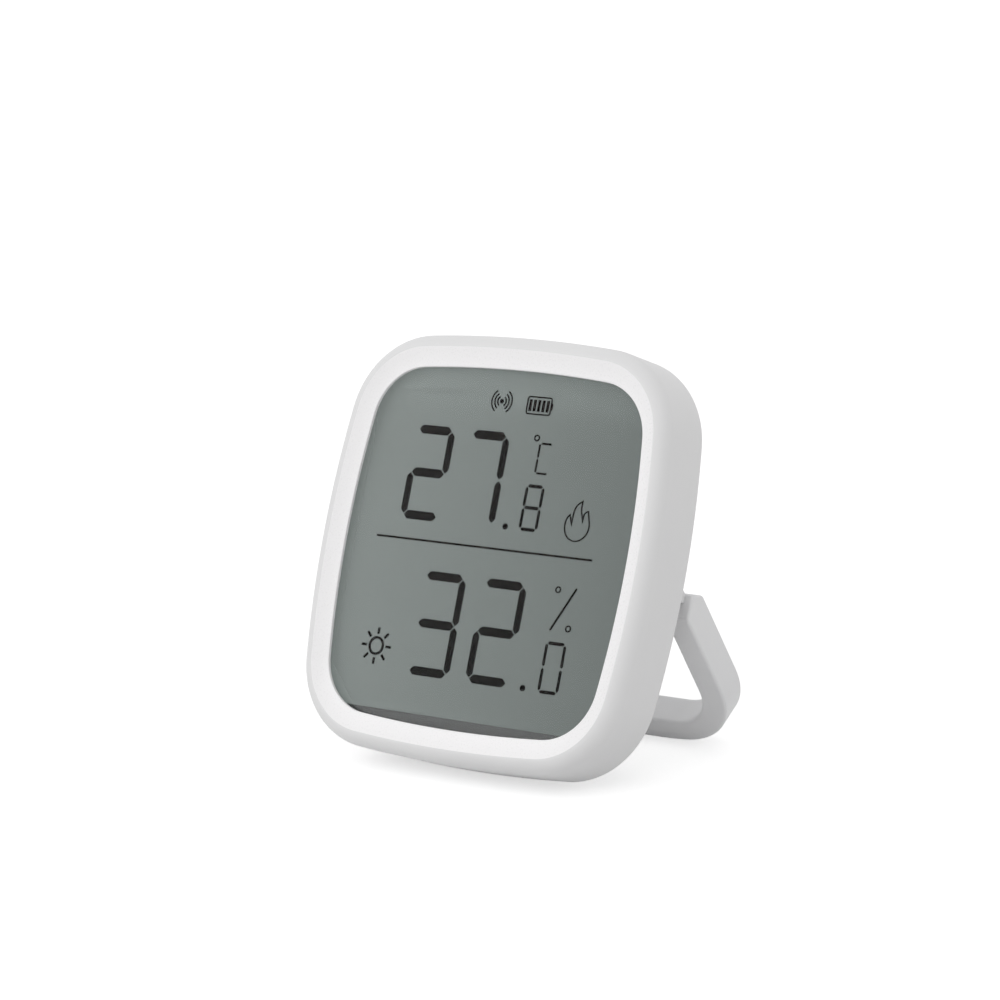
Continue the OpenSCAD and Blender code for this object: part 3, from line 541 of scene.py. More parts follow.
@shared("Board tracks", [("Lacquer", COLOUR, GREY), ("Copper", COLOUR, GREY),
                         ("Scale", FLOAT, 500.0)])
def board_tracks(tree, given, place):
    """Circuit board. Rows of staggered bricks stand for copper under the lacquer: their joints are
    bare lacquer, and the bricks are a little lighter and higher."""
    turn = node(tree, "Mapping", {"Vector": place, "Rotation": (math.radians(90), 0, 0)}).outputs[0]
    rows = node(tree, "TexBrick", {"Vector": turn, "Scale": given["Scale"], "Mortar Size": 0.06,
                                   "Mortar Smooth": 0.2}).outputs["Fac"]
    track = spread(tree, rows, 1.0, 0.0)
    return (mixed(tree, track, given["Lacquer"], given["Copper"]),
            roughened(tree, noise(tree, place, scale=5000.0), 0.25, 0.4), track)


@shared("Display ground", [("Left", COLOUR, GREY), ("Right", COLOUR, GREY),
                           ("Speckle", FLOAT, 0.06)])
def display_ground(tree, given, place):
    """The display's reflective ground. Its colour runs from lighter at the left edge to darker at the right,
    painted light from the left, and a fine speckle of the reflector lies over it."""
    across = node(tree, "SeparateXYZ", {"Vector": place}).outputs["X"]
    across = ranged(tree, across, -SCREEN_HALF, SCREEN_HALF, 0.0, 1.0)
    speck = noise(tree, place, scale=5200.0)
    shift = maths(tree, "MULTIPLY", maths(tree, "SUBTRACT", speck, 0.5), given["Speckle"])
    level = maths(tree, "ADD", across, shift)
    return (mixed(tree, level, given["Left"], given["Right"]),
            roughened(tree, speck, 0.5, 0.7), speck)


# ---------------------------------------------------------------- finishes

# What the clear part of the front glass hides, and how far the strip at its foot lies below
# the middle of the face
GLASS_ALPHA, STRIP_DROP = 0.006, 24.7 * MM
# From one ceramic chip to the next
CHIP_PITCH = 3.0 * MM
# Shares of the pitch from a chip's middle between which its tinned end begins
TIN_FROM, TIN_TO = 0.18, 0.19
# Share of a colour that the rim of the display keeps
RIM_SHARE = 0.97


def opaque(colour, share=1.0):
    """A share of a colour, with full alpha."""
    return tuple(share * part for part in colour[:3]) + (1,)


def new_material(name):
    """A node material with only its shader and its output."""
    material = bpy.data.materials.new(name)
    material.use_nodes = True
    tree = material.node_tree
    tree.nodes.clear()
    shader = node(tree, "BsdfPrincipled")
    node(tree, "OutputMaterial", {"Surface": shader.outputs[0]})
    return material, tree, shader


def skinned(tree, group, values):
    """The outputs of a group with its inputs set."""
    return node(tree, "Group", values, node_tree=group).outputs


def bumped(tree, height, depth, strength):
    """A normal from a height, as a bump of the given depth."""
    return node(tree, "Bump", {"Height": height, "Distance": depth,
                               "Strength": strength}).outputs[0]


def grouped(name, group, values, depth=0.02 * MM, strength=0.2, **sockets):
    """A material whose colour, roughness and height come from one of the groups. Other sockets of
    its shader are named with _ for a space."""
    material, tree, shader = new_material(name)
    skin = skinned(tree, group, values)
    feed(tree, shader, {"Base Color": skin["Colour"], "Roughness": skin["Roughness"],
                        "Normal": bumped(tree, skin["Height"], depth, strength)})
    feed(tree, shader, {key.replace("_", " "): value for key, value in sockets.items()})
    return material


def plastic(colour, shade, grain=4000.0, smooth=0.36, rough=0.46):
    """Inputs of the moulded grain."""
    return {"Colour": opaque(colour), "Shade": opaque(shade), "Grain": grain, "Smooth": smooth,
            "Rough": rough}


def moulded(name, colour, shade, grain=4000.0, smooth=0.36, rough=0.46, **more):
    """Moulded plastic in two close tones."""
    return grouped(name, moulded_grain(), plastic(colour, shade, grain, smooth, rough), **more)


def sheet_metal(name, colour, shade, smooth=0.2, rough=0.4):
    """Bare or plated sheet metal with drawing marks."""
    values = {"Colour": opaque(colour), "Shade": opaque(shade), "Smooth": smooth, "Rough": rough}
    return grouped(name, drawn_metal(), values, depth=0.01 * MM, Metallic=1.0)


def shell_finish(colours):
    """White plastic of the shell. Where the bezel_ring attribute is 1 the mould has a polish, so the ring is
    smoother than the grained outside, and it is painted whiter than the shell: painted light on the ring."""
    material, tree, shader = new_material("white_shell")
    ring = node(tree, "Attribute", attribute_name="bezel_ring").outputs["Fac"]
    outside, polished_and_lit = (skinned(tree, moulded_grain(), values) for values in (
        plastic(colours.shell, colours.shell_shade, grain=4200.0),
        plastic(colours.ring, colours.ring, grain=4200.0, smooth=0.27, rough=0.285)))
    grained = spread(tree, ring, 1.0, 0.0)
    height = maths(tree, "MULTIPLY", outside["Height"], grained)
    feed(tree, shader, {
        "Base Color": mixed(tree, ring, outside["Colour"], polished_and_lit["Colour"]),
        "Roughness": blended(tree, ring, outside["Roughness"], polished_and_lit["Roughness"]),
        "Normal": bumped(tree, height, 0.015 * MM, 0.05)})
    return material


def clear_pane(name):
    """Clear acrylic with an anti-glare coat. Light for the display passes straight through it, and
    the faint haze of the coat is a fine noise in the roughness."""
    material, tree, shader = new_material(name)
    haze = noise(tree, own_place(tree), scale=900.0)
    feed(tree, shader, {"Base Color": (0.97, 0.98, 0.975, 1), "Transmission Weight": 1.0,
                        "IOR": 1.49, "Specular Tint": BLACK,
                        "Roughness": roughened(tree, haze, 0.0, 0.02)})
    shadow = node(tree, "LightPath").outputs["Is Shadow Ray"]
    clear = node(tree, "BsdfTransparent", {"Color": (0.95, 0.96, 0.955, 1)})
    surface = node(tree, "MixShader", {0: shadow, 1: shader.outputs[0], 2: clear.outputs[0]})
    out = next(item for item in tree.nodes if item.type == "OUTPUT_MATERIAL")
    feed(tree, out, {"Surface": surface.outputs[0]})
    return material


def reflector(name, ground, share=0.35, glow=0.36):
    """The display's reflector. A share of its colour is lit directly and the rest is a painted glow, painted light
    that makes up for the shade under the opening's lip, so its rim stays as light as its middle."""
    material, tree, shader = new_material(name)
    skin = skinned(tree, display_ground(), ground)
    # The emission is painted light: the display is no lamp
    feed(tree, shader, {"Base Color": mixed(tree, share, BLACK, skin["Colour"]),
                        "Roughness": skin["Roughness"], "Emission Color": skin["Colour"],
                        "Emission Strength": glow, "Specular IOR Level": 0.0})
    return material


def front_glass_finish(colours):
    """Front glass of the display: clear, and dark where the contact strip shows at its foot. The
    strip lies below a level of the leaned face, found from the object's own coordinates."""
    material, tree, shader = new_material("display_front_glass")
    up_face = node(tree, "VectorMath", {0: own_place(tree), 1: tuple(UP)}, operation="DOT_PRODUCT")
    level = float(FACE_MIDDLE @ UP) - STRIP_DROP
    strip = maths(tree, "LESS_THAN", up_face.outputs["Value"], level)
    skin = skinned(tree, moulded_grain(), plastic(
        colours.strip, opaque(colours.strip, share=0.9), grain=3000.0, smooth=0.3, rough=0.4))
    feed(tree, shader, {"Base Color": skin["Colour"], "Roughness": skin["Roughness"],
                        "Alpha": spread(tree, strip, GLASS_ALPHA, 1.0)})
    return material


def zebra_finish():
    """Rubber of the display connector, in fine bands of black and grey along its length."""
    material, tree, shader = new_material("zebra_rubber")
    bands = threads(tree, "X", distortion=0.3)
    feed(tree, shader, {
        "Base Color": mixed(tree, bands, (0.02, 0.02, 0.022, 1), (0.16, 0.15, 0.16, 1)),
        "Roughness": spread(tree, bands, 0.55, 0.75),
        "Normal": bumped(tree, bands, 0.02 * MM, 0.3)})
    return material


def woven_finish():
    """Dust membrane: threads in two directions, each a wave, and higher where they cross."""
    material, tree, shader = new_material("woven_membrane")
    cross = maths(tree, "MULTIPLY", threads(tree, "X"), threads(tree, "Z"))
    feed(tree, shader, {
        "Base Color": mixed(tree, cross, (0.06, 0.06, 0.065, 1), (0.32, 0.33, 0.34, 1)),
        "Roughness": spread(tree, cross, 0.8, 0.6),
        "Normal": bumped(tree, cross, 0.03 * MM, 0.5)})
    return material


def capacitor_finish():
    """Ceramic chips on a row: tan bodies with tinned ends. The place along the row, counted in
    pitches, tells how far a point is from the middle of its chip."""
    material, tree, shader = new_material("ceramic_chips")
    place = own_place(tree)
    along = node(tree, "SeparateXYZ", {"Vector": place}).outputs["X"]
    share = maths(tree, "FRACT", maths(tree, "DIVIDE", along, CHIP_PITCH))
    far = maths(tree, "ABSOLUTE", maths(tree, "SUBTRACT", share, 0.5))
    end = ranged(tree, far, TIN_FROM, TIN_TO, 0.0, 1.0)
    speck = noise(tree, place, scale=4000.0)
    body = mixed(tree, speck, (0.42, 0.30, 0.17, 1), (0.50, 0.37, 0.22, 1))
    feed(tree, shader, {"Base Color": mixed(tree, end, body, (0.72, 0.73, 0.74, 1)),
                        "Metallic": end, "Roughness": roughened(tree, speck, 0.35, 0.5)})
    return material


def finish_nodes(finishes):
    """Gives packed solids their finishes, by name."""
    for name, material in finishes.items():
        slots = frame["nodes"][name].data.materials
        slots.clear()
        slots.append(material)


# ---------------------------------------------------------------- front

BAND_STEPS = 25
RING_STEPS = 9
# Share of the ring's width at which the rounding of the lip takes over
LIP_SHARE = 0.92
# Room for the crease's arc on either side of it, in lengths of its tangent
CREASE_ROOM = 1.5


def shell_profile(body):
    """Section of the front shell as insets and depths, from the ledge up the lip and up the ring to
    the crease, round the band, along the side and back inside to the ledge, and the number of its
    rows up to the end of the ring. The ring's depth is its sink times t + hollow t (1 - t), with t
    from 0 at the crease to 1 at the opening."""
    quarter = quarter_turn(BAND_STEPS)
    band = np.stack([body.band_width * (1 - np.sin(quarter)),
                     body.band_depth * (1 - np.cos(quarter))], -1)
    across = body.opening_side - body.band_width
    tilt = math.atan2((1 + body.hollow) * body.sink, across)
    room = CREASE_ROOM * body.crease * math.tan(tilt / 2)
    share = np.linspace(LIP_SHARE, room / across, RING_STEPS)
    slope = np.stack([body.band_width + across * share,
                      body.sink * (share + body.hollow * share * (1 - share))], -1)
    lip = rounded_profile([(body.opening_side, body.ledge, 0),
                           (body.opening_side, body.sink, body.lip), (*slope[0], 0)])
    front = np.concatenate([lip[:-1], slope])
    crease = rounded_profile([(*front[-1], 0), (body.band_width, 0, body.crease),
                              (body.band_width - room, 0, 0)], steps=4)[1:-1]
    inner = rounded_profile([
        (body.rear_edge, body.side_depth, 0), (body.wall, body.side_depth, body.inner_edge),
        (body.wall, body.ledge, 0), (body.opening_side, body.ledge, 0)], steps=3)
    rear = body.side_depth - body.rear_edge
    edge = np.stack([body.rear_edge * (1 - np.cos(quarter[::2])),
                     rear + body.rear_edge * np.sin(quarter[::2])], -1)
    return np.concatenate([front[:-1], crease, band[1:], edge, inner[1:-1]]), len(front) + 2


class SENSOR_OT_front_shell(bpy.types.Operator):
    """Front shell: the bowed outline carried along the section of the wall"""
    bl_idname = "sensor.front_shell"
    bl_label = "Front shell"

    def execute(self, context):
        body = context.scene.sensor_shell
        profile, ring_rows = shell_profile(body)
        rings = np.stack([at_depth(bowed_outline(body, inset), depth) for inset, depth in profile])
        piece = new_piece("front_shell_body", *lofted(on_face(rings), closed=True))
        # The bezel_ring mask marks where the shell is painted whiter, painted light on the ring
        on_ring = np.zeros(rings.shape[:2], np.float32)
        on_ring[1:ring_rows] = 1.0
        mask = piece.data.attributes.new("bezel_ring", "FLOAT", "POINT")
        mask.data.foreach_set("value", on_ring.ravel())
        finish = shell_finish(context.scene.sensor_colours)
        dressed(piece, finish, "housing", ["front_shell"])
        return {"FINISHED"}


class SENSOR_OT_window(bpy.types.Operator):
    """Display window: a clear plate inside the bowed outline, with a fine bevel round its edge"""
    bl_idname = "sensor.window"
    bl_label = "Display window"

    def execute(self, context):
        body = context.scene.sensor_shell
        bevel, edge = body.window_bevel, body.wall + body.fit
        rings = [(edge + bevel, body.window_front), (edge, body.window_front + bevel),
                 (edge, body.window_back - bevel), (edge + bevel, body.window_back)]
        points, faces = prism([(bowed_outline(body, inset), depth) for inset, depth in rings])
        piece = new_piece("window_pane", on_face(points), faces)
        dressed(piece, clear_pane("clear_acrylic"), "housing", ["display_window"])
        return {"FINISHED"}


class SENSOR_OT_display(bpy.types.Operator):
    """Display: finishes of the films, glasses, figures and frame behind the window"""
    bl_idname = "sensor.display"
    bl_label = "Display"

    def execute(self, context):
        colours = context.scene.sensor_colours
        # The left and right ground colours hold painted light from the left
        ground = {"Left": opaque(colours.screen_lit_left), "Right": opaque(colours.screen_shaded_right)}
        rim = {side: opaque(colour, RIM_SHARE) for side, colour in ground.items()}
        film = (0.20, 0.22, 0.21)
        finish_nodes({
            "front_polariser": moulded("polariser_film", film, opaque(film, share=0.94),
                                       grain=3000.0, smooth=0.25, rough=0.35, strength=0.02,
                                       Alpha=0.004),
            "lcd_front_glass": front_glass_finish(colours),
            "lcd_segments": moulded("display_figures", colours.figures,
                                    opaque(colours.figures, share=1.3), grain=3000.0,
                                    smooth=0.45, rough=0.6, Specular_IOR_Level=0.0),
            # Rear glass, reflector, seal and frame glow as painted light, and the frame wears the display's ground
            # colour, so the shaded slot at the display's edge shows no dark line
            "lcd_rear_glass": reflector("display_rear_glass", ground),
            "rear_polariser": reflector("display_reflector", ground),
            "lcd_seal": reflector("display_seal", rim),
            "lcd_frame": reflector("display_frame", rim),
            # The tape is painted a light grey-green near the display's colour: painted light that lifts the shade
            # in the slot at the display's left edge
            "window_tape": moulded("window_tape", (0.46, 0.50, 0.485), (0.43, 0.47, 0.455),
                                   grain=2500.0, smooth=0.6, rough=0.8),
            "zebra_strip": zebra_finish()})
        return {"FINISHED"}


# ---------------------------------------------------------------- back

# Sections of turned parts, as radius and depth
TUB = np.array([(15.3, 9.5), (15.3, 16.95), (14.2, 16.95), (14.2, 15.7), (12.6, 15.7), (12.6, 10.7),
                (0, 10.7), (0, 9.5), (15.3, 9.5)]) * MM
BUTTON_GUIDE = np.array([(3.5, 13.0), (4.4, 13.0), (4.4, 16.95), (3.5, 16.95), (3.5, 13.0)]) * MM
BUTTON_HOLE = np.array([(0, 16.5), (2.6, 16.5), (2.6, 18.3), (2.66, 18.42), (2.82, 18.52),
                        (0, 18.52)]) * MM
COUNTERBORE = np.array([(0, 8.5), (1.1, 8.5), (1.1, 9.4), (2.1, 9.4), (2.1, 10.05), (2.28, 10.22),
                        (0, 10.22)]) * MM
# Depth and height of the hinge
HINGE = (15.7 * MM, -4.2 * MM)
# Start, end and radius of the bosses and of the bores for the pins
BOSS = np.array([19.2, 21.75, 2.4]) * MM
PIN_BORE = np.array([19.6, 23.5, 1.0]) * MM
# A stop lug's wedge as depth and height, its two ends, the softening of its edges and the half
# size that the softening is a share of
LUG_WEDGE = np.array([(10.0, -2.9), (13.4, -2.9), (13.4, -1.55), (10.0, 0.78)]) * MM
LUG_NEAR, LUG_FAR, LUG_SOFT, LUG_HALF = 24.9 * MM, 27.75 * MM, 0.18 * MM, 1.2 * MM
# Right, up, half width, half height and two depths of the ways for the battery's contacts
CONTACT_WAYS = np.array([(0.0, 0.0, 2.2, 4.5, 9.3, 10.9), (12.1, 0.0, 0.85, 1.7, 9.3, 15.85)]) * MM
CONTACT_CORNER = 0.2 * MM
# Half width, half height and corner of a vent slot, and its growth at depths from the plate's
# outer face
VENT_SLOT = np.array([0.6, 2.0, 0.5]) * MM
VENT_FLARE = np.array([(0.0, -0.22), (0.08, -0.07), (0.2, 0.02)]) * MM
# How far before the plate a slot's cutter starts
OVERCUT = 0.3 * MM
# Depths of the shelf that the door's rim lies on and of the door's inner face
SHELF, DOOR_INNER = 17.6 * MM, 16.0 * MM
BORE_STEPS = 64


def vent_tools(rear):
    """Cutters of the vent slots: rounded slots that flare a little at the plate's outer face."""
    rings = [(0.0, rear.plate_front - OVERCUT)]
    rings += [(grow, rear.plate_back + past) for grow, past in VENT_FLARE]
    places = (np.arange(rear.vents) - (rear.vents - 1) / 2) * rear.vent_pitch
    return [prism([(rounded_outline(*(VENT_SLOT + grow), (x, rear.vent_z), straight=4, turn=8),
                    depth) for grow, depth in rings]) for x in places]


def contact_tools():
    """Cutters of the ways that the battery's contacts take through the tub."""
    return [prism([(rounded_outline(w, h, CONTACT_CORNER, (x, z - BATTERY_DROP), straight=2,
                                    turn=4), depth) for depth in depths])
            for x, z, w, h, *depths in CONTACT_WAYS]


def screw_places(body, rear):
    """The four case screws, out from the corners' centres along their diagonals."""
    x, z = corner_centre(body, body.wall) + rear.screw_reach / math.sqrt(2)
    return [(sx * x, sz * z) for sx in LEFT_RIGHT for sz in LEFT_RIGHT]


def lug_part(side):
    """A stop lug: a wedge drawn in depth and height, with softened edges at its ends. The points
    in the plate keep their depth."""
    middle = LUG_WEDGE.mean(0)
    rings = []
    for x, shrink in ((LUG_NEAR, LUG_SOFT), (LUG_NEAR + LUG_SOFT, 0.0), (LUG_FAR - LUG_SOFT, 0.0),
                      (LUG_FAR, LUG_SOFT)):
        close = middle + (LUG_WEDGE - middle) * (1 - shrink / LUG_HALF)
        close[[0, 3], 0] = LUG_WEDGE[[0, 3], 0]
        rings.append(np.column_stack([np.full(len(close), side * x), close]))
    return lofted(rings, capped=True)


def cover_rings(body, rear):
    """Rings of the rear cover from the plate's inner edge over its outer face, up the pod, into the
    door's recess and back along the inside. Each edge is a quarter turn."""
    half_w = body.width / 2 - rear.pod_side
    half_h = (rear.pod_top + rear.pod_bottom) / 2
    middle = (0.0, (rear.pod_top - rear.pod_bottom) / 2)
    inside = TOTAL_DEPTH - rear.pod_wall

    def plate(inset, depth):
        return at_depth(bowed_outline(body, inset), depth)

    def pod(inset, depth):
        return at_depth(rounded_outline(half_w - inset, half_h - inset, rear.pod_corner - inset,
                                        middle), depth)

    def hole(radius, depth):
        return at_depth(circle_outline(radius, BATTERY), depth)

    rim, soft, foot, crown = body.wall + body.fit, rear.plate_edge, rear.pod_foot, rear.pod_edge
    turn = quarter_turn(9)
    over, up = 1 - np.cos(turn), 1 - np.sin(turn)
    rings = [plate(rim, rear.plate_front), plate(rim, rear.plate_back - soft)]
    rings += [plate(rim + soft * a, rear.plate_back - soft * b)
              for a, b in zip(over[2::2], up[2::2])]
    rings += [pod(-foot * b, rear.plate_back + foot * a) for a, b in zip(over, up)]
    rings += [pod(crown * a, TOTAL_DEPTH - crown * b) for a, b in zip(over, up)]
    rings += [hole(rear.recess + soft * b, TOTAL_DEPTH - soft * a)
              for a, b in zip(over[::2], up[::2])]
    rings += [hole(rear.recess, SHELF), hole(rear.hole, SHELF), hole(rear.hole, inside),
              pod(rear.pod_wall, inside), pod(rear.pod_wall, rear.plate_front)]
    return np.stack(rings)


class SENSOR_OT_rear_cover(bpy.types.Operator):
    """Rear cover: plate, raised pod and door recess as one closed loft, with its tub, lugs, vents
    and holes worked in"""
    bl_idname = "sensor.rear_cover"
    bl_label = "Rear cover"

    def execute(self, context):
        body, rear = context.scene.sensor_shell, context.scene.sensor_rear
        button = (rear.button_x, rear.button_z)
        piece = new_piece("rear_cover_body", *lofted(on_face(cover_rings(body, rear)), closed=True))
        worked(piece, "UNION", [turned(TUB, BATTERY), turned(BUTTON_GUIDE, button),
                                *rods(*BOSS, HINGE), *(lug_part(side) for side in LEFT_RIGHT)])
        worked(piece, "DIFFERENCE", [
            *vent_tools(rear),
            *(turned(COUNTERBORE, at, BORE_STEPS) for at in screw_places(body, rear)),
            turned(BUTTON_HOLE, button, BORE_STEPS), *rods(*PIN_BORE, HINGE), *contact_tools()])
        colours = context.scene.sensor_colours
        finish = moulded("white_rear", colours.shell, colours.shell_shade, grain=4200.0,
                         depth=0.015 * MM, strength=0.06)
        dressed(piece, finish, "housing", ["rear_cover"])
        return {"FINISHED"}


# Section of a bayonet tab as radius and depth, and half the angle that it takes up
TAB_BLOCK = np.array([(12.1, 16.02), (13.9, 16.02), (13.9, 16.8), (12.1, 16.8)]) * MM
TAB_REACH = math.radians(15)
TAB_STEPS = 13
# Half length, half width and corner of the coin slot in millimetres, and its growth at depths
COIN_SLOT = np.array([6.0, 0.8, 0.79])
COIN_FLARE = ((-0.12, 17.9), (0.0, 18.02), (0.0, 18.32), (0.06, 18.44), (0.2, 18.52))
# Rounding of the door's hub, of its rim under the shelf and of its back edge
HUB_EDGE, RIM_EDGE, DOOR_EDGE = 0.15 * MM, 0.1 * MM, 0.35 * MM
DOOR_STEPS = 160


def tab_part(side):
    """A bayonet tab of the door: a short block carried along an arc under the rim."""
    angle = side * math.pi / 2 + np.linspace(-TAB_REACH, TAB_REACH, TAB_STEPS)
    right = np.cos(angle)[:, None] * TAB_BLOCK[None, :, 0]
    height = np.sin(angle)[:, None] * TAB_BLOCK[None, :, 0] - BATTERY_DROP
    depth = np.broadcast_to(TAB_BLOCK[None, :, 1], right.shape)
    return lofted(np.stack([right, depth, height], -1), capped=True)


class SENSOR_OT_battery_door(bpy.types.Operator):
    """Battery door: a turned disc with a soft rim, two tabs and a coin slot"""
    bl_idname = "sensor.battery_door"
    bl_label = "Battery door"

    def execute(self, context):
        rear = context.scene.sensor_rear
        profile = rounded_profile([
            (0, DOOR_INNER, 0), (rear.hub, DOOR_INNER, HUB_EDGE), (rear.hub, SHELF, 0),
            (rear.door, SHELF, RIM_EDGE), (rear.door, TOTAL_DEPTH, DOOR_EDGE),
            (0, TOTAL_DEPTH, 0)], steps=7)
        points, faces = turned(profile, BATTERY, DOOR_STEPS)
        piece = new_piece("battery_door_disc", on_face(points), faces)
        worked(piece, "UNION", [tab_part(side) for side in LEFT_RIGHT])
        worked(piece, "DIFFERENCE", [prism([
            (rounded_outline(*(COIN_SLOT + grow) * MM, BATTERY, straight=6, turn=10), depth * MM)
            for grow, depth in COIN_FLARE])])
        colours = context.scene.sensor_colours
        finish = moulded("white_door", colours.shell, colours.shell_shade, grain=3600.0,
                         smooth=0.40, rough=0.50, depth=0.015 * MM, strength=0.15)
        dressed(piece, finish, "door", ["battery_door"])
        return {"FINISHED"}


# Radius, depth and rounding of the button's stem and flange, from the inside out
BUTTON_SKIRT = np.array([(0, 10.3, 0), (1.4, 10.3, 0.15), (1.4, 16.0, 0), (3.2, 16.0, 0.1),
                         (3.2, 16.8, 0.1)]) * MM
# Depth of the flange's back, width of the rim round the dish and rounding of the cap's edge
BUTTON_FLANGE, BUTTON_RIM, BUTTON_EDGE = 16.8 * MM, 0.35 * MM, 0.3 * MM
BUTTON_STEPS, DISH_STEPS = 72, 14


class SENSOR_OT_pairing_button(bpy.types.Operator):
    """Pairing button: a turned cap with a flange, a stem and a shallow dish for the finger"""
    bl_idname = "sensor.pairing_button"
    bl_label = "Pairing button"

    def execute(self, context):
        rear = context.scene.sensor_rear
        rim = rear.button - BUTTON_RIM
        skirt = rounded_profile([
            *BUTTON_SKIRT, (rear.button, BUTTON_FLANGE, 0),
            (rear.button, TOTAL_DEPTH, BUTTON_EDGE), (rim, TOTAL_DEPTH, 0)], steps=7)
        radius = np.linspace(rim, 0, DISH_STEPS)
        dish = np.stack([radius, TOTAL_DEPTH - rear.dish * (1 - (radius / rim) ** 2)], -1)
        points, faces = turned(np.concatenate([skirt[:-1], dish]),
                               (rear.button_x, rear.button_z), BUTTON_STEPS)
        piece = new_piece("pairing_button_cap", on_face(points), faces)
        colours = context.scene.sensor_colours
        # The button takes the stand's white, painted a little lighter as painted light
        finish = moulded("white_button", colours.stand, colours.stand_shade, grain=3600.0,
                         smooth=0.30, rough=0.40, strength=0.12)
        dressed(piece, finish, "pairing_button", ["button_cap"])
        return {"FINISHED"}


# ---------------------------------------------------------------- stand

LEG_STEPS = 14
TURN_STEPS = 24
# Points across the flat front and back of the section, with both ends
FLAT_STEPS = 14
# Rings that carry a leg up to its end, with the one that they start from
RISE_STEPS = 9
# The legs' straight part starts this far below the hinge
LEG_START = 3 * MM
# From the middle to the two ends of a leg's pin hole
PIN_NEAR, PIN_FAR = 24.0 * MM, 27.4 * MM
# No edge of the section is rounded by less than this
LEAST_EDGE = 0.06 * MM


def loop_path(stand):
    """Inner and outer points of the loop in its own plane, in pairs from the right leg round the
    bar to the left leg. The outer corners touch the legs' sides and the wide arc of the foot. The
    legs' upper part is left out: it follows the leg ends."""
    corner_x = stand.half_outer - stand.outer_corner
    bow_z = stand.bow - stand.low_outer
    corner_z = bow_z - math.sqrt((stand.bow - stand.outer_corner) ** 2 - corner_x ** 2)
    meet = math.atan2(corner_z - bow_z, corner_x)
    start_i = stand.low_inner - stand.inner_corner
    leg_o, leg_i = (np.linspace((x, -LEG_START), (x, end), LEG_STEPS + 1)
                    for x, end in ((stand.half_outer, corner_z), (stand.half_inner, -start_i)))
    turn_o = arc((corner_x, corner_z), stand.outer_corner, 0, meet, TURN_STEPS)
    turn_i = arc((stand.half_inner - stand.inner_corner, -start_i), stand.inner_corner, 0,
                 -math.pi / 2, TURN_STEPS)
    bar_o = arc((0.0, bow_z), stand.bow, meet, -math.pi / 2, LEG_STEPS)
    bar_i = np.linspace(turn_i[-1], (0.0, -stand.low_inner), LEG_STEPS + 1)
    rights = (np.concatenate([leg[:-1], turn, bar[1:]])
              for leg, turn, bar in ((leg_i, turn_i, bar_i), (leg_o, turn_o, bar_o)))
    return [np.concatenate([right, right[-2::-1] * (-1.0, 1.0)]) for right in rights]


def leg_end(stand, y):
    """Height of the leg's end over its depth: the lower of the stop face and the top face, with the
    crest between them rounded off by a smooth minimum."""
    sine, cosine = math.sin(OPEN_ANGLE), math.cos(OPEN_ANGLE)
    crest_y = stand.top * sine - stand.stop * cosine
    crest_z = stand.stop * sine + stand.top * cosine
    stop = crest_z + (y - crest_y) * cosine / sine
    top = crest_z - (y - crest_y) * math.tan(OPEN_ANGLE - stand.tilt)
    share = np.clip(0.5 + 0.5 * (top - stop) / stand.crest, 0, 1)
    return top * (1 - share) + stop * share - stand.crest * share * (1 - share)


def half_section(stand, thick, inset):
    """Half a rounded section from front to back: its depths, denser in the rounded edges, and how
    far it reaches across from its middle at each. Inset shrinks it on all sides."""
    edge = max(stand.edge - inset, LEAST_EDGE)
    low, high = -stand.front + inset, stand.rear - inset
    turn = quarter_turn(7)
    y = np.concatenate([low + edge * (1 - np.cos(turn)),
                        np.linspace(low + edge, high - edge, FLAT_STEPS)[1:-1],
                        high - edge * (1 - np.cos(turn[::-1]))])
    off = edge * (1 - np.sin(turn))
    return y, thick / 2 - inset - np.concatenate([off, np.zeros(FLAT_STEPS - 2), off[::-1]])


def section_ring(stand, inner, outer, inset=0.0, rise=0.0, lower=0.0):
    """A ring of the section between an inner and an outer point of the loop. Rise carries it from
    the loop's own height, at 0, to the leg's end less a lowering, at 1."""
    thick = np.linalg.norm(outer - inner)
    y, half = half_section(stand, thick, inset)
    across = np.concatenate([half, np.linspace(half[-1], -half[-1], FLAT_STEPS)[1:-1],
                             -half[::-1], np.linspace(-half[0], half[0], FLAT_STEPS)[1:-1]])
    depth = np.concatenate([y, np.full(FLAT_STEPS - 2, y[-1]), y[::-1],
                            np.full(FLAT_STEPS - 2, y[0])])
    flat = (inner + outer) / 2 + across[:, None] * ((outer - inner) / thick)
    up = flat[:, 1] + (leg_end(stand, depth) - lower - flat[:, 1]) * rise
    return np.column_stack([flat[:, 0], depth, up])


def end_rings(stand, inner, outer):
    """Rings that carry a leg up to its end and over the end's rounded edge."""
    rings = [section_ring(stand, inner, outer, 0.0, rise, stand.edge)
             for rise in np.linspace(0, 1, RISE_STEPS)[1:]]
    return rings + [section_ring(stand, inner, outer, stand.edge * (1 - math.cos(turn)), 1.0,
                                 stand.edge * (1 - math.sin(turn))) for turn in quarter_turn(6)[1:]]


def end_faces(start, count):
    """Faces that close a leg's end by strips from the loop's inner side to its outer side, over
    the ring of points that begins at start."""
    half = count // 2 - FLAT_STEPS + 2
    near = np.arange(half)
    far = 2 * half + FLAT_STEPS - 3 - near
    strips = np.stack([near[:-1], near[1:], far[1:], far[:-1]], -1) + start
    back, front = np.r_[half - 1:half + FLAT_STEPS - 1], np.r_[far[0]:count, 0]
    return strips.tolist() + [(start + back).tolist(), (start + front).tolist()]


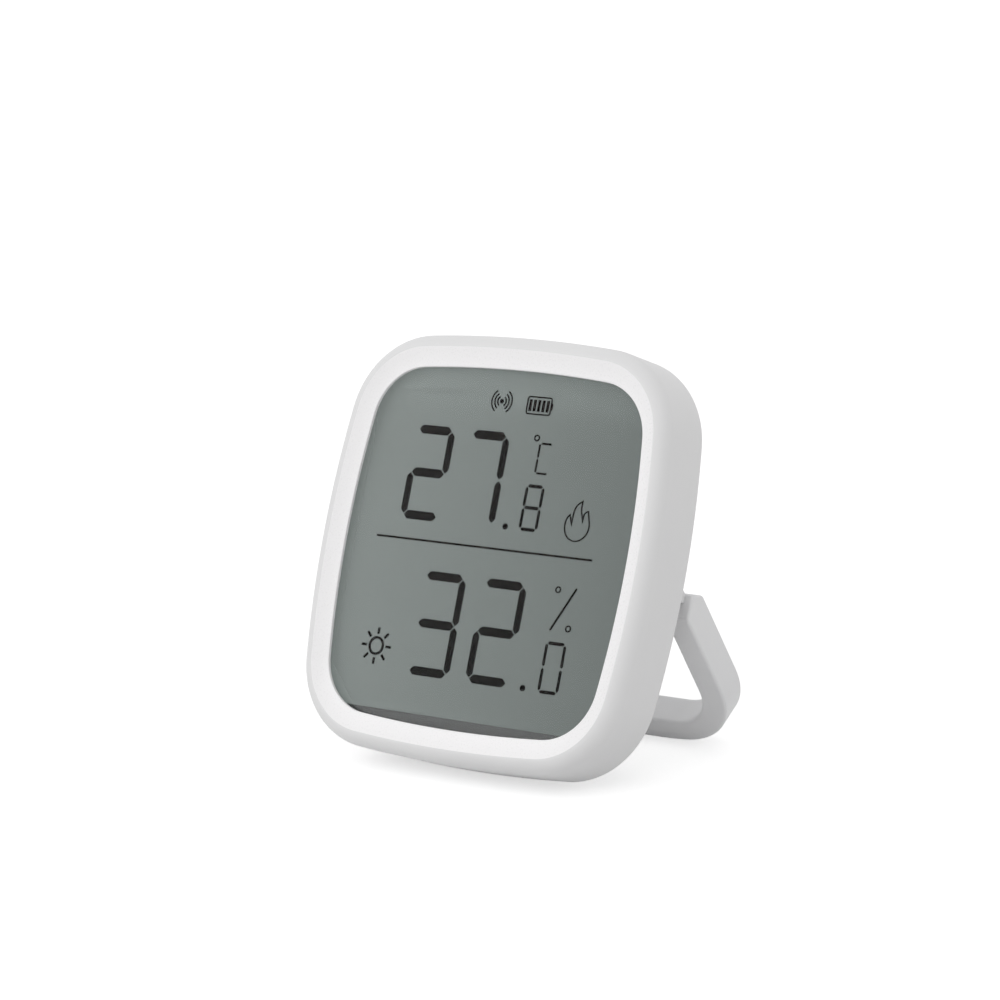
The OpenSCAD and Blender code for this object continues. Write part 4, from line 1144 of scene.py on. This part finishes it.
class SENSOR_OT_loop_stand(bpy.types.Operator):
    """Loop stand: a rounded section carried round the loop, with its legs' ends rounded over"""
    bl_idname = "sensor.loop_stand"
    bl_label = "Loop stand"

    def execute(self, context):
        stand = context.scene.sensor_stand
        pairs = list(zip(*loop_path(stand)))
        rings = np.stack(end_rings(stand, *pairs[0])[::-1]
                         + [section_ring(stand, *pair) for pair in pairs]
                         + end_rings(stand, *pairs[-1]))
        count = rings.shape[1]
        points, faces = lofted(rings)
        for start in (0, (len(rings) - 1) * count):
            faces += end_faces(start, count)
        placed = on_stand(points)
        # No point of the foot lies under the floor
        placed[:, 2] = np.maximum(placed[:, 2], 0.0)
        piece = new_piece("loop_stand_frame", placed, faces)
        worked(piece, "DIFFERENCE", rods(PIN_NEAR, PIN_FAR, stand.pin_hole, (0.0, 0.0)), on_stand)
        colours = context.scene.sensor_colours
        # The stand's white is painted a little lighter than the shell's, painted light on its shaded front and bar
        finish = moulded("white_stand", colours.stand, colours.stand_shade, smooth=0.38, rough=0.48,
                         depth=0.015 * MM, strength=0.06)
        dressed(piece, finish, "loop_stand", ["stand"])
        return {"FINISHED"}


# ---------------------------------------------------------------- screws and inside

# Depth of the head's top, fall of its dome and width of its bevelled edge
SCREW_TOP, SCREW_CROWN, HEAD_EDGE = 10.2 * MM, 0.12 * MM, 0.2 * MM
# Half width, length and depth of the cross, and the run-out of its walls and of its ends
CROSS_HALF, CROSS_LENGTH, CROSS_DEPTH = 0.34 * MM, 1.15 * MM, 0.5 * MM
CROSS_WALL, CROSS_END = 0.1 * MM, 0.2 * MM
# Radius and depth of the shank, from under the head to the point
SHANK = np.array([(0.9, 9.4), (0.9, 5.8), (0, 5.2)]) * MM
# Depths of the two ends of the head's side
HEAD_SIDE = (10.0 * MM, 9.4 * MM)
HEAD_STEPS = 30


def screw_part(at, head):
    """A case screw. Its head is a polar grid whose depth has a cross cut into a low dome, and below
    it the shank is turned down to a point."""
    angle = np.linspace(0, 2 * math.pi, LATHE_STEPS, endpoint=False)
    radius = np.linspace(0, head - HEAD_EDGE, HEAD_STEPS)[:, None]
    right, height = radius * np.cos(angle), radius * np.sin(angle)
    near = np.minimum(np.abs(right), np.abs(height))
    arm = (np.clip((CROSS_HALF - near) / CROSS_WALL, 0, 1)
           * np.clip((CROSS_LENGTH - radius) / CROSS_END, 0, 1))
    depth = (SCREW_TOP - SCREW_CROWN * (radius / head) ** 2
             - CROSS_DEPTH * arm * arm * (3 - 2 * arm))
    rest = np.concatenate([[(head, side) for side in HEAD_SIDE], SHANK])
    right = np.concatenate([right, rest[:, :1] * np.cos(angle)]) + at[0]
    height = np.concatenate([height, rest[:, :1] * np.sin(angle)]) + at[1]
    depth = np.concatenate([depth, np.broadcast_to(rest[:, 1:], (len(rest), len(angle)))])
    return lofted(np.stack([right, depth, height], -1))


class SENSOR_OT_case_screws(bpy.types.Operator):
    """Case screws: four cross-head screws in the counterbores of the rear cover"""
    bl_idname = "sensor.case_screws"
    bl_label = "Case screws"

    def execute(self, context):
        body, rear = context.scene.sensor_shell, context.scene.sensor_rear
        places = screw_places(body, rear)
        points, faces = gathered([screw_part(at, rear.screw_head) for at in places])
        piece = new_piece("case_screw_set", on_face(points), faces)
        finish = sheet_metal("zinc_screws", (0.55, 0.56, 0.57), (0.46, 0.47, 0.48),
                             smooth=0.28, rough=0.42)
        dressed(piece, finish, "housing", ["case_screws"])
        return {"FINISHED"}


class SENSOR_OT_inside(bpy.types.Operator):
    """Inside: finishes of the board, chips, contacts, pins and cell"""
    bl_idname = "sensor.inside"
    bl_label = "Inside"

    def execute(self, context):
        steel = sheet_metal("turned_steel", (0.58, 0.58, 0.59), (0.50, 0.50, 0.51))
        tin = sheet_metal("tinned_can", (0.68, 0.69, 0.70), (0.58, 0.59, 0.60),
                          smooth=0.25, rough=0.45)
        plated = sheet_metal("plated_spring", (0.72, 0.60, 0.32), (0.64, 0.52, 0.27))
        black = moulded("black_package", (0.018, 0.018, 0.02), (0.026, 0.026, 0.028), grain=3200.0,
                        smooth=0.4, rough=0.6)
        green = {"Lacquer": (0.015, 0.10, 0.045, 1), "Copper": (0.03, 0.16, 0.07, 1),
                 "Scale": 260.0}
        blue = {"Lacquer": (0.01, 0.05, 0.14, 1), "Copper": (0.02, 0.09, 0.21, 1),
                "Scale": 420.0}
        finish_nodes({
            "main_board": grouped("green_board", board_tracks(), green),
            "radio_module": grouped("blue_board", board_tracks(), blue),
            "radio_shield": tin, "crystal": tin, "controller_chip": black, "tactile_switch": black,
            "chip_capacitors": capacitor_finish(), "vent_membrane": woven_finish(),
            "sensor_chip": moulded("sensor_package", (0.70, 0.70, 0.67), (0.64, 0.64, 0.61)),
            "switch_plunger": moulded("brown_plunger", (0.25, 0.11, 0.04), (0.21, 0.09, 0.03)),
            "positive_contact": plated, "negative_contact": plated,
            "coin_cell": sheet_metal("nickel_cell", (0.66, 0.66, 0.65), (0.58, 0.58, 0.57)),
            "hinge_pins": steel, "board_screws": steel})
        return {"FINISHED"}


# ---------------------------------------------------------------- stage

CAMERA_RIGHT = (0.7926, 0.6074, -0.0528)
CAMERA_BACK = (0.6022, -0.7664, 0.2237)
CAMERA_SHIFT = (0.02216, 0.04812)
KEY_WAY = (-0.55, -0.70, 0.45)
FILL_WAY = (0.45, -0.62, 0.64)


def placed_at(way, reach, right=None):
    """A place at a reach from the face along a way, looking back at the face, with its own X as
    near as can be to right."""
    back = Vector(way).normalized()
    side = Vector(right) if right else Vector((0, 0, 1)).cross(back)
    up = back.cross(side).normalized()
    turn = Matrix((up.cross(back), up, back)).transposed()
    return Matrix.Translation(Vector(FACE_MIDDLE) + back * reach) @ turn.to_4x4()


def seen_rays(tree):
    """1 for rays from the camera, straight or by way of a gloss or a pane, and 0 for all others."""
    path = node(tree, "LightPath").outputs
    seen = path["Is Camera Ray"]
    for ray in ("Is Glossy Ray", "Is Transmission Ray"):
        seen = maths(tree, "MAXIMUM", seen, path[ray])
    return seen


def floor_finish(glow):
    """Pale floor: a soft grey-white that reads as white to the camera and keeps the shadow. A broad
    noise takes the flatness off its colour."""
    material, tree, shader = new_material("pale_floor")
    broad = noise(tree, own_place(tree), scale=4.0)
    feed(tree, shader, {
        "Base Color": mixed(tree, broad, (0.74, 0.74, 0.74, 1), (0.76, 0.76, 0.76, 1)),
        "Roughness": 0.9, "Specular IOR Level": 0.0, "Emission Color": WHITE,
        "Emission Strength": maths(tree, "MULTIPLY", seen_rays(tree), glow)})
    return material


def studio_sky(low, high):
    """Soft light from all round that grows from the horizon to overhead. The camera sees white."""
    world = bpy.data.worlds.new("studio_sky")
    world.use_nodes = True
    tree = world.node_tree
    way = node(tree, "TexCoord").outputs["Generated"]
    height = node(tree, "SeparateXYZ", {"Vector": way}).outputs["Z"]
    light = spread(tree, height, low, high)
    sky = next(item for item in tree.nodes if item.type == "BACKGROUND")
    feed(tree, sky, {"Color": WHITE, "Strength": blended(tree, seen_rays(tree), light, 1.0)})
    return world


class SENSOR_OT_stage(bpy.types.Operator):
    """Stage: pale floor, soft sky, a key lamp, a fill lamp and the camera"""
    bl_idname = "sensor.stage"
    bl_label = "Stage"

    def execute(self, context):
        scene, settings = context.scene, context.scene.sensor_stage
        half = settings.floor_size / 2
        mesh = bpy.data.meshes.new("floor")
        corners = [(-half, -half, 0), (half, -half, 0), (half, half, 0), (-half, half, 0)]
        mesh.from_pydata(corners, [], [(0, 1, 2, 3)])
        floor = bpy.data.objects.new("floor", mesh)
        scene.collection.objects.link(floor)
        mesh.materials.append(floor_finish(settings.floor_glow))
        scene.world = studio_sky(settings.sky_low, settings.sky_high)

        for name, way, power in (("soft_key", KEY_WAY, settings.key_power),
                                 ("soft_fill", FILL_WAY, settings.fill_power)):
            lamp = bpy.data.lights.new(name, "AREA")
            lamp.shape, lamp.size, lamp.energy = "SQUARE", settings.lamp_size, power
            holder = bpy.data.objects.new(name, lamp)
            holder.matrix_world = placed_at(way, settings.lamp_reach)
            scene.collection.objects.link(holder)

        lens = bpy.data.cameras.new("camera")
        lens.sensor_width, lens.lens = 36.0, settings.lens
        lens.shift_x, lens.shift_y = CAMERA_SHIFT
        lens.clip_start, lens.clip_end = 0.01, 20.0
        camera = bpy.data.objects.new("camera", lens)
        camera.matrix_world = placed_at(CAMERA_BACK, settings.reach, CAMERA_RIGHT)
        scene.collection.objects.link(camera)
        scene.camera = camera
        scene.view_settings.view_transform = "Standard"
        return {"FINISHED"}


# ---------------------------------------------------------------- panel and registration

GROUPS = (("sensor_shell", ShellSizes), ("sensor_rear", RearSizes), ("sensor_stand", StandSizes),
          ("sensor_colours", FinishColours), ("sensor_stage", StageSettings))
STEPS = (SENSOR_OT_front_shell, SENSOR_OT_window, SENSOR_OT_display, SENSOR_OT_rear_cover,
         SENSOR_OT_battery_door, SENSOR_OT_pairing_button, SENSOR_OT_loop_stand,
         SENSOR_OT_case_screws, SENSOR_OT_inside, SENSOR_OT_stage)


class SENSOR_PT_dressing(bpy.types.Panel):
    """Lists the sensor's sizes, colours and building steps"""
    bl_idname = "SENSOR_PT_dressing"
    bl_label = "Display sensor"
    bl_space_type = "VIEW_3D"
    bl_region_type = "UI"
    bl_category = "Sensor"

    def draw(self, context):
        for step in STEPS:
            self.layout.operator(step.bl_idname)
        for name, group in GROUPS:
            box = self.layout.box()
            box.label(text=group.__doc__)
            for key in group.__annotations__:
                box.prop(getattr(context.scene, name), key)


def register():
    for name, group in GROUPS:
        bpy.utils.register_class(group)
        setattr(bpy.types.Scene, name, PointerProperty(type=group))
    for step in STEPS:
        bpy.utils.register_class(step)
    bpy.utils.register_class(SENSOR_PT_dressing)


def unregister():
    bpy.utils.unregister_class(SENSOR_PT_dressing)
    for step in reversed(STEPS):
        bpy.utils.unregister_class(step)
    for name, group in reversed(GROUPS):
        delattr(bpy.types.Scene, name)
        bpy.utils.unregister_class(group)


def main():
    register()
    for step in STEPS:
        family, name = step.bl_idname.split(".")
        getattr(getattr(bpy.ops, family), name)()


if __name__ == "__main__":
    main()
